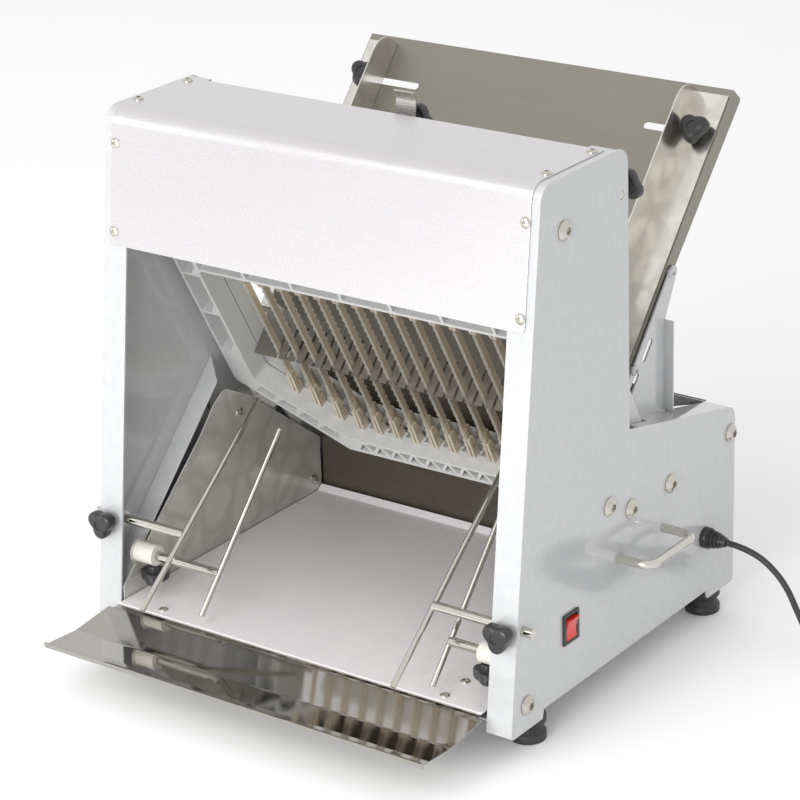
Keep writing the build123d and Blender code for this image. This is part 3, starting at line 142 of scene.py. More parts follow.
# Painted light: the floor plate lies in shade inside the machine, and its brushed steel colour is raised near
# white, with little metal, to stand in for the light falling on it from the front
FLOOR_STEEL = Finish(
    "floor_steel", dark=(0.78, 0.75, 0.77), light=(0.90, 0.88, 0.89), metallic=0.25,
    roughness=(0.30, 0.42), grain=Grain.DEPTH, grain_depth=0.08, marks=0.45)
GUARD_GREY = Finish(
    "guard_grey", dark=(0.36, 0.35, 0.32), light=(0.56, 0.55, 0.51), metallic=0.35,
    roughness=(0.14, 0.40), skin=Skin.FILM, skin_scale=22.0, skin_depth=0.22, marks=0.6)
DARK_GREY = Finish(
    "dark_grey", dark=(0.05, 0.05, 0.05), light=(0.085, 0.085, 0.085), roughness=(0.35, 0.5),
    skin=Skin.ENAMEL)
# Painted shade: the inner bulkhead sits in shadow deep in the machine, and its near-black brown colour stands
# in for that shadow on a steel sheet
SHADE_DARK_SHEET = Finish(
    "brown_sheet", dark=(0.045, 0.038, 0.028), light=(0.085, 0.073, 0.055), metallic=0.4,
    roughness=(0.35, 0.55), grain=Grain.WIDTH, grain_depth=0.1)
ROD_STEEL = Finish(
    "rod_steel", dark=(0.46, 0.43, 0.38), light=(0.62, 0.60, 0.55), metallic=1.0,
    roughness=(0.10, 0.20), marks=0.4)
BOLT_STEEL = Finish(
    "bolt_steel", dark=(0.34, 0.32, 0.28), light=(0.58, 0.55, 0.50), metallic=1.0,
    roughness=(0.20, 0.32), marks=0.5)
MACHINED_STEEL = Finish(
    "machined_steel", dark=(0.40, 0.40, 0.40), light=(0.52, 0.52, 0.52), metallic=1.0,
    roughness=(0.25, 0.4), grain=Grain.WIDTH, grain_depth=0.1)
HOOK_STEEL = Finish(
    "hook_steel", dark=(0.36, 0.30, 0.22), light=(0.70, 0.63, 0.52), metallic=0.6,
    roughness=(0.22, 0.42), grain=Grain.BLADES, grain_depth=0.12, marks=0.7)
CAST_ALLOY = Finish(
    "cast_alloy", dark=(0.42, 0.435, 0.445), light=(0.60, 0.60, 0.585), metallic=0.15,
    roughness=(0.42, 0.6), skin=Skin.CAST, skin_scale=500.0, skin_depth=0.25, marks=0.35)
BLADE_STEEL = Finish(
    "blade_steel", dark=(0.46, 0.37, 0.26), light=(0.84, 0.76, 0.63), metallic=0.7,
    roughness=(0.18, 0.34), grain=Grain.BLADES, grain_depth=0.1, marks=0.6)
EDGE_STEEL = Finish(
    "edge_steel", dark=(0.80, 0.77, 0.70), light=(0.95, 0.93, 0.88), metallic=0.6,
    roughness=(0.10, 0.20), marks=0.4)
MOTOR_GREY = Finish(
    "motor_grey", dark=(0.16, 0.18, 0.20), light=(0.22, 0.24, 0.26), metallic=0.1,
    roughness=(0.4, 0.55), skin=Skin.CAST)
NYLON = Finish(
    "nylon", dark=(0.60, 0.58, 0.52), light=(0.68, 0.66, 0.60), roughness=(0.4, 0.5), skin=Skin.MOULDED)
BLACK_PLASTIC = Finish(
    "black_plastic", dark=(0.012, 0.012, 0.012), light=(0.03, 0.03, 0.03), roughness=(0.28, 0.42),
    skin=Skin.MOULDED, skin_scale=900.0, skin_depth=0.08)
RED_PLASTIC = Finish(
    "red_plastic", dark=(0.50, 0.01, 0.008), light=(0.66, 0.03, 0.02), roughness=(0.15, 0.25),
    skin=Skin.MOULDED, skin_depth=0.02, coat=0.3)
BLACK_RUBBER = Finish(
    "black_rubber", dark=(0.012, 0.012, 0.012), light=(0.035, 0.035, 0.035), roughness=(0.45, 0.65),
    skin=Skin.MOULDED, skin_scale=700.0, skin_depth=0.12)

# Shared by all finishes: how much grain and skin darken a colour, how deep relief goes, how dull a coat is
PATTERN_SHARE = 0.5
RELIEF_HEIGHT = 0.0004
COAT_ROUGHNESS = 0.06


class Tree:
    """Short way to place and join shader nodes in one node tree."""

    def __init__(self, tree: bpy.types.NodeTree) -> None:
        """Start on a tree.

        Args:
            tree: The material's or group's node tree.
        """
        self.tree = tree

    def add(self, kind: str, settings: dict | None = None, **values: object) -> bpy.types.Node:
        """Place one node.

        Args:
            kind: Blender's name of the node type.
            settings: Properties of the node itself.
            values: Inputs by name, with spaces written as underscores, or by number, as in i0. Each is a
                value, or a socket to join.

        Returns:
            The new node.
        """
        node = self.tree.nodes.new(kind)
        for key, value in (settings or {}).items():
            setattr(node, key, value)
        for key, value in values.items():
            if key[0] == "i" and key[1:].isdigit():
                target = node.inputs[int(key[1:])]
            else:
                target = node.inputs[key.replace("_", " ")]
            if isinstance(value, bpy.types.NodeSocket):
                self.join(value, target)
            else:
                target.default_value = value
        return node

    def join(self, source: bpy.types.NodeSocket, target: bpy.types.NodeSocket) -> None:
        """Lead one socket into another."""
        self.tree.links.new(source, target)

    def math(self, operation: str, first: object, second: object = 0.0) -> bpy.types.NodeSocket:
        """Join two values by one arithmetic operation.

        Args:
            operation: Name of the operation.
            first: First value or socket.
            second: Second value or socket.

        Returns:
            The result's socket.
        """
        return self.add("ShaderNodeMath", {"operation": operation}, i0=first, i1=second).outputs[0]

    def spread(self, value: object, low: object, high: object) -> bpy.types.NodeSocket:
        """Carry a mask of 0 to 1 onto another range, kept inside it.

        Args:
            value: The mask.
            low: What 0 becomes.
            high: What 1 becomes.

        Returns:
            The result's socket.
        """
        return self.add("ShaderNodeMapRange", Value=value, To_Min=low, To_Max=high).outputs[0]

    def blend(self, mask: object, first: object, second: object) -> bpy.types.NodeSocket:
        """Mix two colours by a mask.

        Args:
            mask: How much of the second colour shows.
            first: First colour or socket.
            second: Second colour or socket.

        Returns:
            The mixed colour's socket.
        """
        node = self.add("ShaderNodeMix", {"data_type": "RGBA"}, i0=mask)
        for index, value in ((6, first), (7, second)):
            if isinstance(value, bpy.types.NodeSocket):
                self.join(value, node.inputs[index])
            else:
                node.inputs[index].default_value = (*value, 1.0)
        return node.outputs[2]


def new_group(name: str, inputs: dict[str, tuple[str, object]],
              outputs: dict[str, str]) -> tuple[Tree, dict, bpy.types.Node]:
    """Start a shader node group with named inputs and outputs.

    Args:
        name: The group's name.
        inputs: Name to kind of socket and its default.
        outputs: Name to kind of socket.

    Returns:
        The group's tree, its input sockets by name and its output node.
    """
    group = bpy.data.node_groups.new(name, "ShaderNodeTree")
    for key, (kind, default) in inputs.items():
        socket = group.interface.new_socket(key, in_out="INPUT", socket_type="NodeSocket" + kind)
        if kind != "Vector":
            socket.default_value = default
    for key, kind in outputs.items():
        group.interface.new_socket(key, in_out="OUTPUT", socket_type="NodeSocket" + kind)
    tree = Tree(group)
    source = tree.add("NodeGroupInput")
    return tree, {socket.name: socket for socket in source.outputs}, tree.add("NodeGroupOutput")


class PatternGroups:
    """The shader groups that all finishes share."""

    def __init__(self) -> None:
        """Build each group once."""
        self.brushing = self.build_brushing()
        self.marks = self.build_marks()
        self.skin = {
            Skin.ENAMEL: self.build_noise_skin("enamel_skin", 1.0, 0.4),
            Skin.CAST: self.build_noise_skin("cast_skin", 5.0, 0.7),
            Skin.MOULDED: self.build_noise_skin("moulded_skin", 3.0, 0.6),
            Skin.FILM: self.build_film(),
        }

    def build_brushing(self) -> bpy.types.NodeTree:
        """Long fine streaks: noise on coordinates that are squeezed across the streaks.

        Returns:
            The group, whose output is a mask of 0 to 1.
        """
        tree, given, out = new_group("brushing", {"Vector": ("Vector", None), "Turn": ("Vector", None),
                                                  "Stretch": ("Vector", None)}, {"Mask": "Float"})
        turned = tree.add("ShaderNodeMapping", Vector=given["Vector"], Rotation=given["Turn"]).outputs[0]
        squeezed = tree.add("ShaderNodeVectorMath", {"operation": "MULTIPLY"}, i0=turned,
                            i1=given["Stretch"]).outputs[0]
        fine = tree.add("ShaderNodeTexNoise", Vector=squeezed, Scale=1.0, Detail=3.0,
                        Roughness=0.6).outputs[0]
        broad = tree.add("ShaderNodeTexNoise", Vector=squeezed, Scale=0.13, Detail=2.0).outputs[0]
        both = tree.math("MULTIPLY_ADD", fine, 0.65)
        tree.join(tree.math("MULTIPLY", broad, 0.35), both.node.inputs[2])
        mask = tree.add("ShaderNodeMapRange", Value=both, From_Min=0.3, From_Max=0.7).outputs[0]
        tree.join(mask, out.inputs["Mask"])
        return tree.tree

    def build_marks(self) -> bpy.types.NodeTree:
        """Smears and finger marks: broad noise broken up by a finer one.

        Returns:
            The group, whose output is a mask of 0 to 1.
        """
        tree, given, out = new_group("handling_marks", {"Vector": ("Vector", None), "Amount": ("Float", 0.3)},
                                     {"Mask": "Float"})
        broad = tree.add("ShaderNodeTexNoise", Vector=given["Vector"], Scale=9.0, Detail=3.0,
                         Distortion=0.6).outputs[0]
        fine = tree.add("ShaderNodeTexNoise", Vector=given["Vector"], Scale=70.0, Detail=4.0).outputs[0]
        smear = tree.add("ShaderNodeMapRange", Value=broad, From_Min=0.45, From_Max=0.75).outputs[0]
        speck = tree.add("ShaderNodeMapRange", Value=fine, From_Min=0.35, From_Max=0.75).outputs[0]
        both = tree.math("MULTIPLY", smear, speck)
        tree.join(tree.math("MULTIPLY", both, given["Amount"]), out.inputs["Mask"])
        return tree.tree

    def build_noise_skin(self, name: str, detail: float, roughness: float) -> bpy.types.NodeTree:
        """Fine relief of paint, sand casting or moulded plastic, from one noise.

        Args:
            name: The group's name.
            detail: Detail of the noise.
            roughness: Roughness of the noise.

        Returns:
            The group, with a height and a mask of 0 to 1.
        """
        tree, given, out = new_group(name, {"Vector": ("Vector", None), "Scale": ("Float", 300.0)},
                                     {"Height": "Float", "Mask": "Float"})
        noise = tree.add("ShaderNodeTexNoise", Vector=given["Vector"], Scale=given["Scale"], Detail=detail,
                         Roughness=roughness).outputs[0]
        tree.join(noise, out.inputs["Height"])
        mask = tree.add("ShaderNodeMapRange", Value=noise, From_Min=0.35, From_Max=0.65).outputs[0]
        tree.join(mask, out.inputs["Mask"])
        return tree.tree

    def build_film(self) -> bpy.types.NodeTree:
        """Crackled protective film: warped cells whose borders stand up as wrinkles, and whose mask darkens
        the colour along them as painted shade.

        Returns:
            The group, with a height and a mask of 0 to 1.
        """
        tree, given, out = new_group("film_wrinkles", {"Vector": ("Vector", None), "Scale": ("Float", 50.0)},
                                     {"Height": "Float", "Mask": "Float"})
        warp = tree.add("ShaderNodeTexNoise", Vector=given["Vector"], Scale=given["Scale"], Detail=3.0)
        shift = tree.add("ShaderNodeVectorMath", {"operation": "SCALE"}, i0=warp.outputs[1],
                         Scale=0.03).outputs[0]
        moved = tree.add("ShaderNodeVectorMath", {"operation": "ADD"}, i0=given["Vector"],
                         i1=shift).outputs[0]
        cells = tree.add("ShaderNodeTexVoronoi", {"feature": "DISTANCE_TO_EDGE"}, Vector=moved,
                         Scale=given["Scale"]).outputs[0]
        ridge = tree.add("ShaderNodeMapRange", {"interpolation_type": "SMOOTHSTEP"}, Value=cells,
                         From_Max=0.25, To_Min=1.0, To_Max=0.0).outputs[0]
        tree.join(ridge, out.inputs["Height"])
        # Painted shade: the same ridges also darken the film's colour along its wrinkles, besides roughening
        # it
        tree.join(ridge, out.inputs["Mask"])
        return tree.tree


# How each grain turns its coordinates, then squeezes them: streaks run where they are squeezed least
GRAIN_TURN = {Grain.WIDTH: (0.0, 0.0, 0.0), Grain.DEPTH: (0.0, 0.0, 0.0),
              Grain.BLADES: (BLADE_SLOPE, 0.0, 0.0)}
GRAIN_STRETCH = {Grain.WIDTH: (12.0, 1400.0, 1400.0), Grain.DEPTH: (1400.0, 12.0, 1400.0),
                 Grain.BLADES: (900.0, 20.0, 900.0)}


class FinishShop:
    """Makes materials from finishes, each one once."""

    def __init__(self) -> None:
        """Build the shared groups."""
        self.groups = PatternGroups()
        self.made: dict[str, bpy.types.Material] = {}

    def group(self, tree: Tree, group: bpy.types.NodeTree, **values: object) -> bpy.types.Node:
        """Place a shared group in a material.

        Args:
            tree: The material's tree.
            group: The group to place.
            values: Its inputs.

        Returns:
            The group's node.
        """
        return tree.add("ShaderNodeGroup", {"node_tree": group}, **values)

    def material(self, finish: Finish) -> bpy.types.Material:
        """Give a finish's material, and build it on its first use.

        Args:
            finish: The finish.

        Returns:
            Its material.
        """
        if finish.name not in self.made:
            self.made[finish.name] = self.build(finish)
        return self.made[finish.name]

    def build(self, finish: Finish) -> bpy.types.Material:
        """Build the material of a finish.

        Args:
            finish: The finish.

        Returns:
            The new material.
        """
        material = bpy.data.materials.new(finish.name)
        material.use_nodes = True
        material.node_tree.nodes.clear()
        tree = Tree(material.node_tree)
        place = tree.add("ShaderNodeTexCoord").outputs["Object"]
        marks = self.group(tree, self.groups.marks, Vector=place, Amount=finish.marks).outputs["Mask"]
        tone = marks
        heights = []
        if finish.grain is not Grain.NONE:
            grain = self.group(tree, self.groups.brushing, Vector=place, Turn=GRAIN_TURN[finish.grain],
                               Stretch=GRAIN_STRETCH[finish.grain]).outputs["Mask"]
            tone = tree.math("MULTIPLY_ADD", grain, PATTERN_SHARE)
            tree.join(marks, tone.node.inputs[2])
            heights.append((grain, finish.grain_depth))
        if finish.skin is not Skin.SMOOTH:
            skin = self.group(tree, self.groups.skin[finish.skin], Vector=place, Scale=finish.skin_scale)
            tone = tree.math("MAXIMUM", tone, tree.math("MULTIPLY", skin.outputs["Mask"], PATTERN_SHARE))
            heights.append((skin.outputs["Height"], finish.skin_depth))
        shader = tree.add("ShaderNodeBsdfPrincipled", Base_Color=tree.blend(tone, finish.light, finish.dark),
                          Roughness=tree.spread(tone, *finish.roughness), Metallic=finish.metallic)
        shader.inputs["Coat Weight"].default_value = finish.coat
        shader.inputs["Coat Roughness"].default_value = COAT_ROUGHNESS
        normal = None
        for height, depth in heights:
            bump = tree.add("ShaderNodeBump", Height=height, Strength=depth, Distance=RELIEF_HEIGHT)
            if normal is not None:
                tree.join(normal, bump.inputs["Normal"])
            normal = bump.outputs[0]
        if normal is not None:
            tree.join(normal, shader.inputs["Normal"])
        output = tree.add("ShaderNodeOutputMaterial")
        tree.join(shader.outputs[0], output.inputs[0])
        return material


shop = FinishShop()


def node_body(node: str) -> str:
    """Give the body that a node rides on.

    Args:
        node: Name of the CAD node.

    Returns:
        The body's name.
    """
    return frame["nodes"][node]["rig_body"]


def place_piece(piece: bpy.types.Object, node: str, finish: Finish, replaces: bool = True) -> None:
    """Dress a piece, let it ride on its node's body, and hide the node if the piece stands for it.

    Args:
        piece: The new piece.
        node: The CAD node that it belongs to.
        finish: Its finish.
        replaces: Whether the piece stands for the node.
    """
    piece.data.materials.clear()
    piece.data.materials.append(shop.material(finish))
    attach(piece, node_body(node))
    if replaces:
        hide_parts(node)
    log.info("%s on %s", piece.name, node_body(node))


def grid_faces(rows: int, columns: int, closed: bool) -> np.ndarray:
    """Number the quads of a grid of points, row by row.

    Args:
        rows: Number of rows.
        columns: Points in a row.
        closed: Whether each row is a ring.

    Returns:
        Four point numbers for each quad.
    """
    last = columns if closed else columns - 1
    row, column = np.meshgrid(np.arange(rows - 1), np.arange(last), indexing="ij")
    near = row * columns + column
    side = row * columns + (column + 1) % columns
    return np.stack([near, side, side + columns, near + columns], axis=-1).reshape(-1, 4)


def mesh_object(name: str, points: np.ndarray, faces: list, sharp: float = 40.0) -> bpy.types.Object:
    """Put points and faces into a new smooth object, with creases where it turns sharply.

    Args:
        name: The object's name.
        points: Three coordinates for each point.
        faces: Point numbers of each face.
        sharp: Angle from which an edge stays a crease, in degrees.

    Returns:
        The new object, linked to the scene.
    """
    mesh = bpy.data.meshes.new(name)
    mesh.from_pydata(points.tolist(), [], [list(map(int, face)) for face in faces])
    mesh.validate()
    work = bmesh.new()
    work.from_mesh(mesh)
    bmesh.ops.recalc_face_normals(work, faces=work.faces)
    work.to_mesh(mesh)
    work.free()
    mesh.polygons.foreach_set("use_smooth", np.ones(len(mesh.polygons), bool))
    mesh.set_sharp_from_angle(angle=math.radians(sharp))
    piece = bpy.data.objects.new(name, mesh)
    bpy.context.scene.collection.objects.link(piece)
    return piece


def ring_surface(rings: np.ndarray) -> tuple[np.ndarray, list]:
    """Close a stack of rings into one solid skin, with a flat face over each end.

    Args:
        rings: Points by ring, place on the ring, and coordinate.

    Returns:
        The points and the faces.
    """
    rows, columns, _ = rings.shape
    faces = grid_faces(rows, columns, True).tolist()
    faces.append(list(range(columns))[::-1])
    faces.append(list(range((rows - 1) * columns, rows * columns)))
    return rings.reshape(-1, 3), faces


def joined(parts: list[tuple[np.ndarray, list]]) -> tuple[np.ndarray, list]:
    """Put several skins into one list of points and faces.

    Args:
        parts: Points and faces of each skin.

    Returns:
        All points and all faces.
    """
    points = []
    faces = []
    start = 0
    for part_points, part_faces in parts:
        points.append(part_points)
        faces += [[number + start for number in face] for face in part_faces]
        start += len(part_points)
    return np.concatenate(points), faces


def lathe_rings(profile: np.ndarray, steps: int) -> np.ndarray:
    """Turn a profile about Z: each ring has the profile's radius at the profile's height.

    Args:
        profile: Radius and height of each ring.
        steps: Points on a ring.

    Returns:
        The rings.
    """
    angle = np.linspace(0, FULL_TURN, steps, endpoint=False)
    radius, height = profile[:, :1], profile[:, 1:]
    return np.stack([radius * np.cos(angle), radius * np.sin(angle), height + 0 * angle], axis=-1)


def stood(rings: np.ndarray, foot: np.ndarray, up: np.ndarray, lead: np.ndarray) -> np.ndarray:
    """Stand rings made about Z onto a point, with their axis and start direction turned.

    Args:
        rings: Points about the Z axis.
        foot: Where their origin goes.
        up: Where their Z goes.
        lead: Direction near which their X goes.

    Returns:
        The moved points.
    """
    up = np.asarray(up, float) / np.linalg.norm(up)
    lead = np.asarray(lead, float) - np.dot(lead, up) * up
    lead /= np.linalg.norm(lead)
    return rings @ np.stack([lead, np.cross(up, lead), up]) + np.asarray(foot, float)


def rounded_path(corners: np.ndarray, radius: float, steps: int) -> np.ndarray:
    """Round the corners of a path in a plane: each corner becomes an arc that touches both runs.

    Args:
        corners: The path's corners, with two or three coordinates.
        radius: Radius of the arcs.
        steps: Points on each arc.

    Returns:
        The points of the rounded path.
    """
    corners = np.asarray(corners, float)
    run_in = corners[1:-1] - corners[:-2]
    run_out = corners[2:] - corners[1:-1]
    run_in /= np.linalg.norm(run_in, axis=1, keepdims=True)
    run_out /= np.linalg.norm(run_out, axis=1, keepdims=True)
    turn = np.arccos(np.clip((run_in * run_out).sum(1), -1, 1))[:, None]
    start = corners[1:-1] - run_in * radius * np.tan(turn / 2)
    sideways = run_out - run_in * np.cos(turn)
    sideways /= np.linalg.norm(sideways, axis=1, keepdims=True)
    angle = np.linspace(0, 1, steps)[None, :, None] * turn[:, None]
    swing = np.sin(angle) * run_in[:, None] + (1 - np.cos(angle)) * sideways[:, None]
    arcs = start[:, None] + radius * swing
    return np.concatenate([corners[:1], arcs.reshape(-1, corners.shape[1]), corners[-1:]])


def bar_rings(path: np.ndarray, radius: float, sides: int, normal: np.ndarray) -> np.ndarray:
    """Carry a circle along a path in a plane, square to the path at each point.

    Args:
        path: Points of the path.
        radius: The bar's radius.
        sides: Points on each ring.
        normal: Normal of the path's plane.

    Returns:
        The rings.
    """
    tangent = np.gradient(path, axis=0)
    tangent /= np.linalg.norm(tangent, axis=1, keepdims=True)
    sideways = np.cross(tangent, normal)
    angle = np.linspace(0, FULL_TURN, sides, endpoint=False)[None, :, None]
    around = np.cos(angle) * sideways[:, None] + np.sin(angle) * np.asarray(normal, float)
    return path[:, None] + radius * around


def refined(node: str, finish: Finish, softness: float, sharp: float = 32.0) -> bpy.types.Object:
    """Stand a merged copy of a CAD node in its place, with softened edges and smooth bends.

    Args:
        node: The CAD node.
        finish: Its finish.
        softness: Width of the softened edges.
        sharp: Angle from which an edge counts as an edge, in degrees.

    Returns:
        The new piece.
    """
    mesh = frame["nodes"][node].data.copy()
    work = bmesh.new()
    work.from_mesh(mesh)
    bmesh.ops.remove_doubles(work, verts=work.verts, dist=MERGE_DISTANCE)
    bmesh.ops.dissolve_limit(work, angle_limit=FLAT_TURN, verts=work.verts, edges=work.edges)
    work.to_mesh(mesh)
    work.free()
    mesh.polygons.foreach_set("use_smooth", np.ones(len(mesh.polygons), bool))
    mesh.set_sharp_from_angle(angle=math.radians(sharp))
    piece = bpy.data.objects.new(node + "_shape", mesh)
    bpy.context.scene.collection.objects.link(piece)
    bevel = piece.modifiers.new("soft_edges", "BEVEL")
    bevel.width = softness
    bevel.segments = 2
    bevel.limit_method = "ANGLE"
    bevel.angle_limit = math.radians(sharp)
    bevel.harden_normals = False
    weights = piece.modifiers.new("flat_faces", "WEIGHTED_NORMAL")
    weights.keep_sharp = False
    weights.weight = 80
    place_piece(piece, node, finish)
    return piece


def dressed(node: str, finish: Finish) -> None:
    """Give a CAD node its material and leave its shape as it is.

    Args:
        node: The CAD node.
        finish: Its finish.
    """
    shown = frame["nodes"][node]
    shown.data.materials.clear()
    shown.data.materials.append(shop.material(finish))
    log.info("%s dressed", node)


@dataclass(frozen=True)
class Studio:
    """Camera, lights and floor."""

    focal_length: float = 132.435
    camera_place: tuple[float, float, float] = (1.648, -2.246, 1.380)
    right: tuple[float, float, float] = (0.8141, 0.5801, -0.0270)
    up: tuple[float, float, float] = (-0.1917, 0.3124, 0.9304)
    shift: tuple[float, float] = (-0.00625, -0.025)
    floor_half: float = 6.0
    paper_tone: float = 0.93
    paper_roughness: float = 0.9
    sky_strength: float = 0.95

    def build_camera(self) -> None:
        """Stand the camera where the photograph was taken from."""
        lens = bpy.data.cameras.new("camera")
        lens.lens = self.focal_length
        lens.sensor_width = 36.0
        lens.shift_x, lens.shift_y = self.shift
        lens.clip_end = 50.0
        camera = bpy.data.objects.new("camera", lens)
        right = Vector(self.right).normalized()
        up = (Vector(self.up) - right * right.dot(Vector(self.up))).normalized()
        back = right.cross(up)
        turn = Matrix((right, up, back)).transposed().to_4x4()
        camera.matrix_world = Matrix.Translation(Vector(self.camera_place)) @ turn
        bpy.context.scene.collection.objects.link(camera)
        bpy.context.scene.camera = camera

    def add_lamp(self, name: str, place: tuple, target: tuple, size: tuple, power: float) -> None:
        """Hang one soft rectangular lamp.

        Args:
            name: The lamp's name.
            place: Where it hangs.
            target: What it points at.
            size: Its width and height.
            power: Its power in watts.
        """
        light = bpy.data.lights.new(name, "AREA")
        light.shape = "RECTANGLE"
        light.size, light.size_y = size
        light.energy = power
        lamp = bpy.data.objects.new(name, light)
        lamp.location = place
        lamp.rotation_mode = "QUATERNION"
        lamp.rotation_quaternion = (Vector(target) - Vector(place)).to_track_quat("-Z", "Y")
        bpy.context.scene.collection.objects.link(lamp)

    def build(self) -> None:
        """Set up the floor, the lamps and the sky."""
        floor_mesh = bpy.data.meshes.new("studio_floor")
        half = self.floor_half
        corners = [(-half, -half, 0), (half, -half, 0), (half, half, 0), (-half, half, 0)]
        floor_mesh.from_pydata(corners, [], [(0, 1, 2, 3)])
        floor = bpy.data.objects.new("studio_floor", floor_mesh)
        bpy.context.scene.collection.objects.link(floor)
        paper = bpy.data.materials.new("studio_paper")
        paper.use_nodes = True
        shader = paper.node_tree.nodes["Principled BSDF"]
        shader.inputs["Base Color"].default_value = (self.paper_tone, self.paper_tone, self.paper_tone, 1.0)
        shader.inputs["Roughness"].default_value = self.paper_roughness
        floor_mesh.materials.append(paper)
        world = bpy.data.worlds.new("studio_sky")
        world.use_nodes = True
        sky = world.node_tree.nodes["Background"]
        sky.inputs["Color"].default_value = (1.0, 1.0, 1.0, 1.0)
        sky.inputs["Strength"].default_value = self.sky_strength
        bpy.context.scene.world = world
        bpy.context.scene.view_settings.view_transform = "Standard"
        self.add_lamp("high_front", (-0.6, -2.4, 2.4), (0, 0, 0.3), (1.8, 1.2), 16.0)
        self.add_lamp("low_front", (0.3, -2.3, 0.8), (0, 0, 0.2), (1.4, 0.9), 38.0)
        self.add_lamp("low_left", (-2.4, -1.6, 1.0), (0, 0, 0.25), (1.2, 1.2), 10.0)


